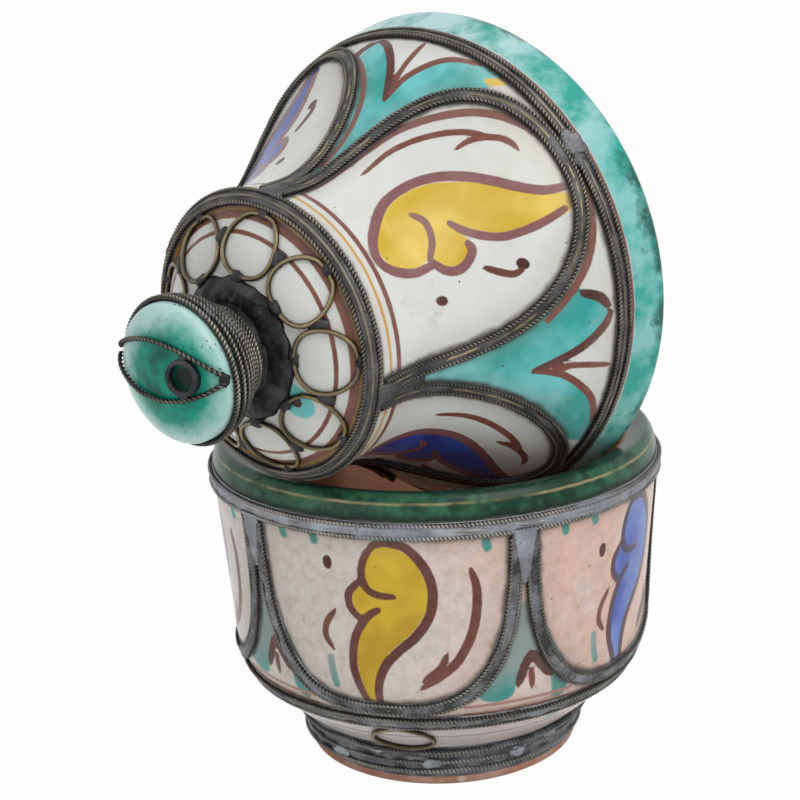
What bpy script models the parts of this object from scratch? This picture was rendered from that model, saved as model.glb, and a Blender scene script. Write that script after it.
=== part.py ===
"""Covered earthenware bowl bound in wire filigree, with its lid lying across the lip.

Metres, +Z up. The origin is the centre of the flat foot, on the table, and the front is -Y.
"""
import math

import bmesh
import bpy
from mathutils import Matrix, Vector

# Bowl, thrown earthenware
BOWL_HEIGHT = 0.0936
BASE_RADIUS = 0.0381
FOOT_RADIUS = 0.0394
FOOT_CHAMFER = 0.0018
FOOT_HEIGHT = 0.0105
BELLY_RADIUS = 0.0598
BELLY_HEIGHT = 0.0400
MOUTH_RADIUS = 0.0633
LIP_RISE = 0.0070
MOUTH_HEIGHT = BOWL_HEIGHT - LIP_RISE
CREST_RADIUS = 0.0603
LIP_RADIUS = 0.0540
LIP_DROP = 0.0025
LIP_DEPTH = 0.0120
BOWL_WALL = 0.0060
BOWL_FLOOR = 0.0100

# Lid, thrown earthenware, measured up its own axis from the open rim
LID_RIM_RADIUS = 0.0700
LID_RIM_ROUND = 0.0008
BRIM_RADIUS = 0.0655
BRIM_HEIGHT = 0.0155
COLLAR_RADIUS = 0.0382
SHOULDER_HEIGHT = 0.0795
COLLAR_DROP = 0.0115
COLLAR_HEIGHT = SHOULDER_HEIGHT - COLLAR_DROP
SHOULDER_ROUND = 0.0045
DOME_RISE = 0.0085
NECK_RADIUS = 0.0108
NECK_ROUND = 0.0020
KNOB_RADIUS = 0.0181
KNOB_HEIGHT = 0.0170
KNOB_EDGE = 0.0020
KNOB_DOME = 0.0068
LID_WALL = 0.0060

# Wire
CORD = 0.0015
RIDGE = 0.0012
FRAME_CORD = 0.0013
FRAME_RIDGE = 0.0010
FOOT_CORD = 0.0018
KNOB_CORD = 0.0016
RING_WIRE = 0.0013
EYE_WIRE = 0.0013

# Where the filigree lies
BOWL_BAND_DROP = 0.0023
WAIST_HEIGHT = 0.0275
WAIST_PETAL_GAP = 0.0009
FOOT_WINDING_START = 0.0034
FOOT_WINDING_TOP = 0.0026
LID_BAND_HEIGHT = 0.0136
PETALS = 5
BOWL_PETAL_SQUARENESS = 3.0
LID_PETAL_SQUARENESS = 1.95
LID_FRONT_SQUARENESS = 2.75
TIGHTEST_CURVE = 0.0350
BOWL_STEM_GAP = 0.0006
LID_STEM_GAP = 0.0006
BOWL_FIRST_STEM = math.radians(-141.0)
LID_FIRST_STEM = math.radians(164.3)
LID_FRONT_PETAL = math.radians(96.5)
RINGS = 9
FIRST_RING = math.radians(218.5)
RING_SPACING = 0.0006
FOOT_RING_WIDTH = 0.0180
FOOT_RING_ANGLE = math.radians(-103.0)
SOLDER_RISE = 0.0022
SOLDER_WIDTH = 0.0058
EYE_TURN = math.radians(-4.2)
EYE_OPENING = 0.0144
EYE_OFFSET = 0.0030
EYE_RING_OFFSET = 0.0093

# Fits
GAP = 0.0003
WOUND_GAP = 0.0005
LID_REST = 0.0004
LID_REST_RADIUS = 0.0609
LID_AZIMUTH = math.radians(40.6)

# Facets
TURNS = 34
KNOB_TURNS = 24
PETAL_POINTS = 16
PETAL_SAMPLES = 200
RING_POINTS = 12
LOOP_POINTS = 24
WINDING_SAMPLES = 40

GLAZE = (0.80, 0.76, 0.68, 1.0)
METAL = (0.16, 0.16, 0.16, 1.0)
BRASS = (0.36, 0.32, 0.22, 1.0)
SOLDER = (0.22, 0.22, 0.23, 1.0)


def clear_scene():
    for item in list(bpy.data.objects):
        bpy.data.objects.remove(item)


def material(name, colour, roughness, metallic):
    made = bpy.data.materials.new(name)
    made.use_nodes = True
    shader = made.node_tree.nodes["Principled BSDF"]
    shader.inputs["Base Color"].default_value = colour
    shader.inputs["Roughness"].default_value = roughness
    shader.inputs["Metallic"].default_value = metallic
    return made


def bezier(start, pull_start, pull_end, end, steps):
    """Points along a cubic curve, without its first point."""
    points = []
    for step in range(1, steps + 1):
        t = step / steps
        u = 1 - t
        weights = (u**3, 3 * u * u * t, 3 * u * t * t, t**3)
        ends = (start, pull_start, pull_end, end)
        points.append(tuple(sum(w * p[axis] for w, p in zip(weights, ends)) for axis in (0, 1)))
    return points


def between(start, end, share):
    return start + (end - start) * share


class Profile:
    """The outer line of a turned piece as (radius, height) points, measured along its length."""

    def __init__(self, points):
        self.points = [Vector(point) for point in points]
        self.lengths = [0.0]
        for a, b in zip(self.points, self.points[1:]):
            self.lengths.append(self.lengths[-1] + (b - a).length)
        sides = [Vector((b.y - a.y, a.x - b.x)).normalized() for a, b in zip(self.points, self.points[1:])]
        self.normals = [(a + b).normalized() for a, b in zip([sides[0]] + sides, sides + [sides[-1]])]

    def at(self, length):
        """Radius, height and outward direction at a length from the first point."""
        length = min(max(length, 0.0), self.lengths[-1])
        index = max(i for i, start in enumerate(self.lengths[:-1]) if start <= length)
        share = (length - self.lengths[index]) / (self.lengths[index + 1] - self.lengths[index])
        point = self.points[index].lerp(self.points[index + 1], share)
        normal = self.normals[index].lerp(self.normals[index + 1], share).normalized()
        return point, normal

    def raised(self, length, lift):
        point, normal = self.at(length)
        return point + normal * lift

    def length_at_height(self, height):
        for index, (a, b) in enumerate(zip(self.points, self.points[1:])):
            if a.y <= height < b.y:
                share = (height - a.y) / (b.y - a.y)
                return self.lengths[index] + share * (b - a).length
        raise ValueError("no such height on this profile")

    def place(self, angle, length, lift):
        """A point in space above the turned surface."""
        spot = self.raised(length, lift)
        return Vector((spot.x * math.cos(angle), spot.x * math.sin(angle), spot.y))


def bowl_profile():
    foot = (FOOT_RADIUS, FOOT_HEIGHT)
    belly = (BELLY_RADIUS, BELLY_HEIGHT)
    mouth = (MOUTH_RADIUS, MOUTH_HEIGHT)
    crest = (CREST_RADIUS, BOWL_HEIGHT)
    flare = between(FOOT_RADIUS, BELLY_RADIUS, 0.35), between(FOOT_HEIGHT, BELLY_HEIGHT, 0.24)
    rise = BELLY_RADIUS, between(BELLY_HEIGHT, FOOT_HEIGHT, 0.48)
    wall_low = BELLY_RADIUS + (MOUTH_RADIUS - BELLY_RADIUS) * 0.25, between(BELLY_HEIGHT, MOUTH_HEIGHT, 0.33)
    wall_high = between(BELLY_RADIUS, MOUTH_RADIUS, 0.8), between(BELLY_HEIGHT, MOUTH_HEIGHT, 0.7)
    lip_out = MOUTH_RADIUS, between(MOUTH_HEIGHT, BOWL_HEIGHT, 0.6)
    lip_top = between(CREST_RADIUS, MOUTH_RADIUS, 0.4), BOWL_HEIGHT
    points = [(BASE_RADIUS, 0.0), (FOOT_RADIUS, FOOT_CHAMFER), foot]
    points += bezier(foot, flare, rise, belly, 6)
    points += bezier(belly, wall_low, wall_high, mouth, 4)
    points += bezier(mouth, lip_out, lip_top, crest, 3)
    return Profile(points)


def bowl_hollow(profile):
    """The inside of the bowl, from the lip's crest over its inner edge and down to the middle of the floor."""
    crest = (CREST_RADIUS, BOWL_HEIGHT)
    edge = (LIP_RADIUS, BOWL_HEIGHT - LIP_DROP)
    over = between(CREST_RADIUS, LIP_RADIUS, 0.35), BOWL_HEIGHT
    inside = between(LIP_RADIUS, CREST_RADIUS, 0.08), between(edge[1], BOWL_HEIGHT, 0.7)
    mouth = profile.length_at_height(MOUTH_HEIGHT - LIP_DEPTH)
    wall = profile.raised(mouth, -BOWL_WALL)
    under = (LIP_RADIUS, between(edge[1], wall.y, 0.5))
    above = (wall.x, between(wall.y, edge[1], 0.4))
    points = bezier(crest, over, inside, edge, 3) + bezier(edge, under, above, wall, 3)
    bottom = profile.length_at_height(FOOT_HEIGHT)
    for share in (0.3, 0.55, 0.75, 0.9, 1.0):
        points.append(tuple(profile.raised(between(mouth, bottom, share), -BOWL_WALL)))
    corner = points[-1]
    floor = (corner[0] * 0.6, BOWL_FLOOR)
    return points + [floor, (0.0, BOWL_FLOOR)]


def lid_profile():
    rim = (LID_RIM_RADIUS, LID_RIM_ROUND)
    brim = (BRIM_RADIUS, BRIM_HEIGHT)
    collar = (COLLAR_RADIUS, COLLAR_HEIGHT)
    flank_low = BRIM_RADIUS, between(BRIM_HEIGHT, COLLAR_HEIGHT, 0.14)
    flank_high = COLLAR_RADIUS, between(COLLAR_HEIGHT, BRIM_HEIGHT, 0.38)
    corner = (COLLAR_RADIUS, SHOULDER_HEIGHT - SHOULDER_ROUND)
    inset = (COLLAR_RADIUS - SHOULDER_ROUND, SHOULDER_HEIGHT)
    neck_foot = (NECK_RADIUS + NECK_ROUND, SHOULDER_HEIGHT + DOME_RISE)
    neck = (NECK_RADIUS, neck_foot[1] + NECK_ROUND)
    knob_low = (KNOB_RADIUS, neck[1] + KNOB_HEIGHT)
    knob_high = (KNOB_RADIUS, knob_low[1] + KNOB_EDGE)
    crown = (0.0, knob_high[1] + KNOB_DOME)
    dome_out = between(inset[0], neck_foot[0], 0.2), between(inset[1], neck_foot[1], 0.55)
    dome_in = between(inset[0], neck_foot[0], 0.6), neck_foot[1]
    waist_low = NECK_RADIUS, between(neck[1], knob_low[1], 0.35)
    waist_high = KNOB_RADIUS, between(neck[1], knob_low[1], 0.6)
    crown_out = KNOB_RADIUS * 0.97, between(knob_high[1], crown[1], 0.55)
    crown_in = KNOB_RADIUS * 0.5, crown[1]
    points = [(LID_RIM_RADIUS - LID_RIM_ROUND, 0.0), rim]
    points += bezier(rim, rim, brim, brim, 2)
    points += bezier(brim, flank_low, flank_high, collar, 8)
    points.append(corner)
    points += bezier(corner, (corner[0], between(corner[1], inset[1], 0.55)),
                     (between(inset[0], corner[0], 0.55), inset[1]), inset, 4)
    points += bezier(inset, dome_out, dome_in, neck_foot, 5)
    points.append(neck)
    points += bezier(neck, waist_low, waist_high, knob_low, 5)
    points.append(knob_high)
    points += bezier(knob_high, crown_out, crown_in, crown, 4)
    return Profile(points)


def lid_hollow(profile):
    """The inside of the lid, from the rim up to the middle of its ceiling."""
    low = profile.length_at_height(BRIM_HEIGHT)
    high = profile.length_at_height(COLLAR_HEIGHT)
    ceiling = SHOULDER_HEIGHT - LID_WALL
    top = profile.raised(high, -LID_WALL)
    points = [(LID_RIM_RADIUS - LID_WALL, 0.0)]
    for share in (0.0, 0.2, 0.4, 0.6, 0.8, 1.0):
        points.append(tuple(profile.raised(between(low, high, share), -LID_WALL)))
    return points + [(top.x, between(ceiling, top.y, 0.45)), (top.x * 0.75, ceiling), (0.0, ceiling)]


def add_mesh(name, bm, finish, parent):
    mesh = bpy.data.meshes.new(name)
    bm.to_mesh(mesh)
    bm.free()
    mesh.shade_smooth()
    mesh.set_sharp_from_angle(angle=math.radians(40))
    mesh.materials.append(finish)
    made = bpy.data.objects.new(name, mesh)
    bpy.context.scene.collection.objects.link(made)
    made.parent = parent
    return made


def turned(name, points, steps, finish, parent, closed=False):
    """A piece thrown on a wheel: its outline spun about the vertical axis."""
    bm = bmesh.new()
    line = [bm.verts.new((radius, 0.0, height)) for radius, height in points]
    pairs = list(zip(line, line[1:]))
    if closed:
        pairs.append((line[-1], line[0]))
    for pair in pairs:
        bm.edges.new(pair)
    bmesh.ops.spin(bm, geom=bm.verts[:] + bm.edges[:], cent=(0, 0, 0), axis=(0, 0, 1),
                   angle=math.tau, steps=steps, use_merge=True)
    bmesh.ops.remove_doubles(bm, verts=bm.verts[:], dist=1e-6)
    bmesh.ops.holes_fill(bm, edges=bm.edges[:], sides=0)
    bmesh.ops.recalc_face_normals(bm, faces=bm.faces[:])
    return add_mesh(name, bm, finish, parent)


def wire(name, points, diameter, finish, parent, closed, resolution=1):
    """A round wire or cord along a line of points."""
    curve = bpy.data.curves.new(name, "CURVE")
    curve.dimensions = "3D"
    curve.bevel_depth = diameter / 2
    curve.bevel_resolution = resolution
    curve.use_fill_caps = True
    spline = curve.splines.new("POLY")
    spline.points.add(len(points) - 1)
    for spot, point in zip(spline.points, points):
        spot.co = (*point, 1.0)
    spline.use_cyclic_u = closed
    spline.use_smooth = True
    curve.materials.append(finish)
    made = bpy.data.objects.new(name, curve)
    bpy.context.scene.collection.objects.link(made)
    made.parent = parent
    return made


def hoop(name, profile, length, diameter, steps, finish, parent, resolution=1):
    """A wire that runs once round a turned piece."""
    lift = GAP + diameter / 2
    points = [profile.place(math.tau * step / steps, length, lift) for step in range(steps)]
    return wire(name, points, diameter, finish, parent, True, resolution)


def binding(prefix, profile, middle, steps, finish, parent):
    """A band of two twisted cords with a plain ridge wire between them."""
    step = RIDGE / 2 + GAP + CORD / 2
    hoop(prefix + "_lower_cord", profile, middle - step, CORD, steps, finish, parent)
    hoop(prefix + "_ridge_wire", profile, middle, RIDGE, steps, finish, parent, 0)
    hoop(prefix + "_upper_cord", profile, middle + step, CORD, steps, finish, parent)


BAND_HALF = RIDGE / 2 + GAP + CORD
FRAME_STEP = FRAME_RIDGE / 2 + GAP + FRAME_CORD / 2
FRAME_HALF = FRAME_STEP + FRAME_CORD / 2


def petal_path(centre, half_angle, open_end, tip, squareness, radius):
    """A petal's outline on the turned surface: evenly spaced (angle, length) points from one foot to the other.

    How square it is comes as a pair, for its first and its last side.
    """
    dense = []
    for step in range(PETAL_SAMPLES + 1):
        turn = math.pi * step / PETAL_SAMPLES
        power = 2 / squareness[step > PETAL_SAMPLES // 2]
        across = math.copysign(abs(math.cos(turn)) ** power, math.cos(turn))
        along = abs(math.sin(turn)) ** power
        dense.append((centre - half_angle * across, between(open_end, tip, along)))
    walked = [0.0]
    for a, b in zip(dense, dense[1:]):
        walked.append(walked[-1] + math.hypot((b[0] - a[0]) * radius, b[1] - a[1]))
    path = []
    for step in range(PETAL_POINTS + 1):
        goal = walked[-1] * step / PETAL_POINTS
        index = max(i for i in range(PETAL_SAMPLES) if walked[i] <= goal)
        share = (goal - walked[index]) / (walked[index + 1] - walked[index])
        path.append(tuple(between(a, b, share) for a, b in zip(dense[index], dense[index + 1])))
    return path, walked[-1] / PETAL_POINTS


def beside(profile, path, offset):
    """The path moved sideways on the surface by a distance, away from the petal's middle."""
    outward = math.copysign(1.0, path[len(path) // 2][1] - path[0][1])
    moved = []
    for index, (angle, length) in enumerate(path):
        before = path[max(index - 1, 0)]
        after = path[min(index + 1, len(path) - 1)]
        radius = profile.at(length)[0].x
        run = (after[0] - before[0]) * radius
        rise = after[1] - before[1]
        if index in (0, len(path) - 1):
            run = 0.0
        size = math.hypot(run, rise)
        shift = offset * outward / size
        moved.append((angle - shift * rise / radius, length + shift * run))
    return moved


def petal_frame(prefix, profile, outline, finish, parent):
    """A petal's frame: an inner cord, a ridge wire and an outer cord side by side.

    Its straight stretches are lifted so that they clear the curve of the surface between two points.
    """
    path, spacing = outline
    sag = spacing**2 / (8 * TIGHTEST_CURVE)
    members = (("inner_cord", -FRAME_STEP, FRAME_CORD, 1),
               ("ridge_wire", 0.0, FRAME_RIDGE, 0),
               ("outer_cord", FRAME_STEP, FRAME_CORD, 1))
    for label, offset, diameter, resolution in members:
        lift = GAP + sag + diameter / 2
        line = [profile.place(angle, length, lift) for angle, length in beside(profile, path, offset)]
        wire(prefix + "_" + label, line, diameter, finish, parent, False, resolution)


def winding(name, profile, start, end, diameter, finish, parent):
    """One cord wound round and round a turned piece, with as many turns as fit."""
    sag = 1 - math.cos(math.pi / LOOP_POINTS)
    line = []
    for step in range(WINDING_SAMPLES + 1):
        length = between(start, end, step / WINDING_SAMPLES)
        line.append(profile.raised(length, GAP + diameter / 2 + profile.at(length)[0].x * sag))
    lifted = Profile(line)
    turns = int(lifted.lengths[-1] / (diameter + WOUND_GAP))
    steps = turns * LOOP_POINTS
    points = []
    for step in range(steps + 1):
        points.append(lifted.place(math.tau * step / LOOP_POINTS, lifted.lengths[-1] * step / steps, 0.0))
    wire(name, points, diameter, finish, parent, False)
    nearest = min((points[i] - points[j]).length
                  for i in range(len(points))
                  for j in range(i + LOOP_POINTS // 2, len(points)))
    print(name, "turns", turns, "least gap to itself", round((nearest - diameter) * 1000, 3), "mm")


def surface_ring(name, profile, angle, length, across, along, diameter, finish, parent):
    """A round or oval wire ring lying on the turned surface, given its outside sizes."""
    lift = GAP + diameter / 2
    points = []
    for step in range(RING_POINTS):
        turn = math.tau * step / RING_POINTS
        spot = length + (along - diameter) / 2 * math.sin(turn)
        radius = profile.at(spot)[0].x
        points.append(profile.place(angle + (across - diameter) / 2 * math.cos(turn) / radius, spot, lift))
    wire(name, points, diameter, finish, parent, True)


def rest_pose(shoulder):
    """How the lid lies on the bowl: its lean, how far its rim's centre is behind the bowl's axis, and its height.

    The shoulder cord lies on the crest of the lip at the knob's side, and the rim
    stands inside the lip's inner edge at two points.
    """
    edge = BOWL_HEIGHT - LIP_DROP + LID_REST
    inside = LIP_RADIUS - LID_REST

    def stand(lean):
        sine = math.sin(lean)
        cosine = math.cos(lean)
        height = BOWL_HEIGHT + LID_REST + CORD / 2 + shoulder.y * sine + shoulder.x * cosine
        behind = shoulder.y * cosine - shoulder.x * sine - LID_REST_RADIUS
        drop = (height - edge) / cosine
        reach = math.hypot(behind + drop * sine, math.sqrt(max(LID_RIM_RADIUS**2 - drop**2, 0.0)))
        return reach - inside, behind, height

    low = math.radians(-20.0)
    high = math.radians(30.0)
    for _ in range(60):
        middle = (low + high) / 2
        if stand(middle)[0] > 0:
            low = middle
        else:
            high = middle
    return (low + high) / 2, *stand((low + high) / 2)[1:]


def lid_matrix(lean, behind, height):
    """The lid's own frame in the bowl's: Z along its axis to the knob, X level, Y downwards."""
    away = Vector((math.sin(LID_AZIMUTH), math.cos(LID_AZIMUTH), 0.0))
    axis = -away * math.cos(lean) - Vector((0, 0, math.sin(lean)))
    level = axis.cross(Vector((0, 0, 1))).normalized()
    down = axis.cross(level)
    turn = Matrix((level, down, axis)).transposed().to_4x4()
    return Matrix.Translation(away * behind + Vector((0, 0, height))) @ turn


def build_bowl(finishes, parent):
    profile = bowl_profile()
    turned("bowl_body", [tuple(point) for point in profile.points] + bowl_hollow(profile),
           TURNS, finishes["glaze"], parent)
    metal = finishes["metal"]
    rim = profile.length_at_height(MOUTH_HEIGHT - BOWL_BAND_DROP)
    binding("bowl_rim", profile, rim, TURNS, metal, parent)

    waist = profile.length_at_height(WAIST_HEIGHT)
    binding("waist", profile, waist, TURNS, metal, parent)

    open_end = rim - BAND_HALF - GAP
    radius = profile.at(open_end)[0].x
    tip = waist + BAND_HALF + WAIST_PETAL_GAP + FRAME_HALF
    step = math.tau / PETALS
    half_angle = step / 2 - (FRAME_HALF + BOWL_STEM_GAP / 2) / radius
    for number in range(PETALS):
        middle = BOWL_FIRST_STEM + step * (number + 0.5)
        outline = petal_path(middle, half_angle, open_end, tip, (BOWL_PETAL_SQUARENESS,) * 2, radius)
        petal_frame(f"bowl_petal_{number + 1}", profile, outline, metal, parent)

    foot_start = profile.length_at_height(FOOT_WINDING_START)
    foot_end = profile.length_at_height(FOOT_HEIGHT + FOOT_WINDING_TOP)
    winding("foot_winding", profile, foot_start, foot_end, FOOT_CORD, metal, parent)

    ring_low = foot_end + FOOT_CORD / 2 + GAP
    ring_high = waist - BAND_HALF - GAP
    surface_ring("foot_ring", profile, FOOT_RING_ANGLE, (ring_low + ring_high) / 2, FOOT_RING_WIDTH,
                 ring_high - ring_low, RING_WIRE, finishes["brass"], parent)


def lid_stems():
    """The angles of the stems between the lid's petals: the front petal is wider than the rest."""
    rest = (math.tau - LID_FRONT_PETAL) / (PETALS - 1)
    return [LID_FIRST_STEM] + [LID_FIRST_STEM + LID_FRONT_PETAL + rest * number for number in range(PETALS)]


def build_eye(profile, edge, finishes, parent):
    """The almond eye on the knob: two twisted arcs across the crown and a plain ring between them."""
    crown = profile.lengths[-1]

    def on_crown(x, y, diameter):
        length = crown - math.hypot(x, y)
        return profile.place(math.atan2(y, x) + EYE_TURN, length, GAP + diameter / 2)

    reach = crown - edge - KNOB_CORD / 2 - GAP - EYE_WIRE / 2
    half = math.sqrt(reach**2 - EYE_OFFSET**2)
    steps = 14
    corner = (EYE_WIRE + GAP) / 2
    bulge = EYE_OPENING / 2 - corner
    for label, side in (("upper", -1), ("lower", 1)):
        points = []
        for step in range(steps + 1):
            x = half * (2 * step / steps - 1)
            rise = corner + bulge * (1 - (x / half) ** 2)
            points.append(on_crown(x, side * rise - EYE_OFFSET, EYE_WIRE))
        wire(f"knob_eye_{label}_cord", points, EYE_WIRE, finishes["metal"], parent, False)
    slope = 2 * bulge * EYE_RING_OFFSET / half**2
    room = (corner + bulge * (1 - (EYE_RING_OFFSET / half) ** 2)) / math.hypot(1, slope)
    radius = room - EYE_WIRE / 2 - GAP - RING_WIRE / 2
    points = []
    for step in range(RING_POINTS):
        turn = math.tau * step / RING_POINTS
        x = radius * math.cos(turn) - EYE_RING_OFFSET
        points.append(on_crown(x, radius * math.sin(turn) - EYE_OFFSET, RING_WIRE))
    wire("knob_eye_ring", points, RING_WIRE, finishes["solder"], parent, True)


def build_knob(profile, finishes, parent):
    dome = profile.length_at_height(SHOULDER_HEIGHT + DOME_RISE)
    neck_height = SHOULDER_HEIGHT + DOME_RISE + NECK_ROUND
    inner = profile.raised(dome, GAP)
    outer = profile.raised(dome - SOLDER_WIDTH, GAP)
    middle = profile.raised(dome - SOLDER_WIDTH / 2, GAP)
    crest = (inner.x, inner.y + SOLDER_RISE)
    slope = (between(inner.x, outer.x, 0.5), middle.y + SOLDER_RISE * 0.7)
    section = [tuple(inner), tuple(middle), tuple(outer), slope, crest]
    turned("knob_solder_collar", section, KNOB_TURNS, finishes["solder"], parent, True)

    edge = profile.length_at_height(neck_height + KNOB_HEIGHT + KNOB_EDGE / 2)
    start = profile.length_at_height(inner.y + SOLDER_RISE + GAP + KNOB_CORD / 2)
    winding("knob_winding", profile, start, edge, KNOB_CORD, finishes["metal"], parent)
    build_eye(profile, edge, finishes, parent)
    return dome - SOLDER_WIDTH


def build_lid(finishes):
    profile = lid_profile()
    metal = finishes["metal"]
    corner = profile.length_at_height(SHOULDER_HEIGHT - SHOULDER_ROUND)
    round_end = corner + SHOULDER_ROUND * math.pi / 2
    shoulder = (corner + round_end) / 2
    lower_cord = profile.raised(shoulder - RIDGE / 2 - GAP - CORD / 2, GAP + CORD / 2)
    lean, behind, height = rest_pose(lower_cord)
    print("lid lean", round(math.degrees(lean), 2), "behind", round(behind, 5), "height", round(height, 5))

    parent = bpy.data.objects.new("lid_frame", None)
    bpy.context.scene.collection.objects.link(parent)
    parent.matrix_world = lid_matrix(lean, behind, height)

    outside = [tuple(point) for point in reversed(profile.points)]
    turned("lid_body", outside + lid_hollow(profile), TURNS, finishes["glaze"], parent)
    rim = profile.length_at_height(LID_BAND_HEIGHT)
    binding("lid_rim", profile, rim, TURNS, metal, parent)
    binding("lid_shoulder", profile, shoulder, TURNS, metal, parent)

    open_end = shoulder - BAND_HALF - GAP
    tip = rim + BAND_HALF + GAP + FRAME_HALF
    radius = profile.at(open_end)[0].x
    margin = (FRAME_HALF + LID_STEM_GAP / 2) / radius
    stems = lid_stems()
    for number, (first, last) in enumerate(zip(stems, stems[1:])):
        middle = (first + last) / 2
        half_angle = (last - first) / 2 - margin
        last_side = LID_FRONT_SQUARENESS if number == 0 else LID_PETAL_SQUARENESS
        outline = petal_path(middle, half_angle, open_end, tip, (LID_PETAL_SQUARENESS, last_side), radius)
        petal_frame(f"lid_petal_{number + 1}", profile, outline, metal, parent)

    solder_edge = build_knob(profile, finishes, parent)
    ring_out = shoulder + BAND_HALF + GAP
    ring_in = solder_edge - GAP
    ring_middle = (ring_out + ring_in) / 2
    chord = 2 * profile.at(ring_middle)[0].x * math.sin(math.pi / RINGS)
    size = min(ring_in - ring_out, chord - RING_SPACING)
    for number in range(RINGS):
        angle = FIRST_RING + math.tau * number / RINGS
        surface_ring(f"lid_top_ring_{number + 1}", profile, angle, ring_out + size / 2, size, size,
                     RING_WIRE, finishes["brass"], parent)


def main():
    clear_scene()
    finishes = {
        "glaze": material("glazed_earthenware", GLAZE, 0.15, 0.0),
        "metal": material("tarnished_metal", METAL, 0.45, 1.0),
        "brass": material("tarnished_brass", BRASS, 0.40, 1.0),
        "solder": material("solder", SOLDER, 0.55, 1.0),
    }
    build_bowl(finishes, None)
    build_lid(finishes)


main()
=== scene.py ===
# %% [markdown]
# # A covered earthenware bowl, bound in twisted wire
#
# The object is a thrown and painted bowl with a tall lid. Metalworkers then dressed both with
# filigree: twisted cords, plain ridge wires, small rings and solder. This lesson loads the solid
# model as a fixed frame and gives each solid the surface that the real piece has.

# %% Load the frame
import math

import bmesh
import bpy
import numpy as np
from mathutils import Matrix, Vector, noise


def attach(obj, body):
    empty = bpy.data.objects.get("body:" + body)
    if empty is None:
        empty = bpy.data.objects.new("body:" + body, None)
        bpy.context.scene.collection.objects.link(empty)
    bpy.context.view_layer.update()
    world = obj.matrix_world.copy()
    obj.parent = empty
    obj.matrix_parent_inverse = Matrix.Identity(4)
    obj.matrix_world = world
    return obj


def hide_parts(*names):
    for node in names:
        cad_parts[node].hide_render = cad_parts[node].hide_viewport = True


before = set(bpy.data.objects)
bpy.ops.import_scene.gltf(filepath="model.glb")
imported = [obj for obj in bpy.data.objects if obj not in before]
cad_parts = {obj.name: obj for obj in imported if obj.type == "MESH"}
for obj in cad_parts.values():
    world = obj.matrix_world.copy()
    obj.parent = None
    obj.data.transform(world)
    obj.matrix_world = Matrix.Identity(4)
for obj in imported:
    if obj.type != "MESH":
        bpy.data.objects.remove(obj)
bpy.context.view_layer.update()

# %% [markdown]
# ## Camera
#
# The camera stands a little above the lip, half a metre away, and is turned by two degrees as a
# hand-held one is. A long lens keeps the rims close to true ellipses. The place and the lens are
# fixed numbers, so the view is the same on every run.

# %% Camera
camera_data = bpy.data.cameras.new("camera")
camera_data.lens = 84.55
camera_data.sensor_width = 36.0
camera = bpy.data.objects.new("camera", camera_data)
bpy.context.scene.collection.objects.link(camera)
ahead = Vector((-0.01705, 0.96089, -0.27642)).normalized()
right = ahead.cross(Vector((0.03503, 0.27686, 0.96027))).normalized()
camera.matrix_world = Matrix((right, right.cross(ahead), -ahead)).transposed().to_4x4()
camera.location = (0.0, -0.51463, 0.24939)
bpy.context.scene.camera = camera
bpy.context.scene.view_settings.view_transform = "Standard"
print("camera at", tuple(camera.location), "lens", camera_data.lens)

# %% [markdown]
# ## Shader maths
#
# A material is a sum of layers, and sums are easier to read than boxes and noodles. This class
# holds one output of a node. Its operators add Math nodes, and its one method adds any other node.


# %% A socket that can be added and multiplied
class Tone:
    """One output of a shader node. Arithmetic on it adds Math nodes."""

    def __init__(self, tree, output):
        self.tree = tree
        self.output = output

    def node(self, kind, settings=None, inputs=None, out=0):
        made = self.tree.nodes.new(kind)
        for name, value in (settings or {}).items():
            setattr(made, name, value)
        for name, value in (inputs or {}).items():
            if isinstance(value, Tone):
                self.tree.links.new(value.output, made.inputs[name])
            else:
                made.inputs[name].default_value = value
        return Tone(self.tree, made.outputs[out])

    def math(self, operation, first, second=0.0):
        return self.node("ShaderNodeMath", {"operation": operation}, {0: first, 1: second})

    def __add__(self, other):
        return self.math("ADD", self, other)

    __radd__ = __add__

    def __sub__(self, other):
        return self.math("SUBTRACT", self, other)

    def __rsub__(self, other):
        return self.math("SUBTRACT", other, self)

    def __mul__(self, other):
        return self.math("MULTIPLY", self, other)

    __rmul__ = __mul__

    def __truediv__(self, other):
        return self.math("DIVIDE", self, other)

    def __abs__(self):
        return self.math("ABSOLUTE", self)

    def least(self, other):
        return self.math("MINIMUM", self, other)

    def most(self, other):
        return self.math("MAXIMUM", self, other)

    def clamp(self):
        return self.node("ShaderNodeClamp", None, {"Value": self})


# %% Helpers for finishes
def finish(name):
    """A new material, its shader node and its surface coordinates."""
    made = bpy.data.materials.new(name)
    made.use_nodes = True
    tree = made.node_tree
    shader = tree.nodes["Principled BSDF"]
    coords = Tone(tree, tree.nodes.new("ShaderNodeTexCoord").outputs["Object"])
    return made, shader, coords


def feed(shader, name, value):
    """Sets a socket of the shader, or links a layer to it."""
    if isinstance(value, Tone):
        value.tree.links.new(value.output, shader.inputs[name])
    else:
        shader.inputs[name].default_value = value


def colour(red, green, blue):
    return (red, green, blue, 1.0)


def blend(first, second, share):
    """One colour over another."""
    return share.node("ShaderNodeMix", {"data_type": "RGBA"}, {0: share, 6: first, 7: second}, 2)


def grain(coords, scale, detail=3.0, rough=0.55):
    """Soft noise about 0.5; one blot is about one part in the scale of a metre."""
    return coords.node("ShaderNodeTexNoise", None,
                       {"Vector": coords, "Scale": scale, "Detail": detail, "Roughness": rough})


def step(value, low, high):
    """0 below low and 1 above high, in a straight line between."""
    return ((value - low) / (high - low)).clamp()


def fall(value, low, high):
    """1 below low and 0 above high, in a straight line between."""
    return ((high - value) / (high - low)).clamp()


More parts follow.
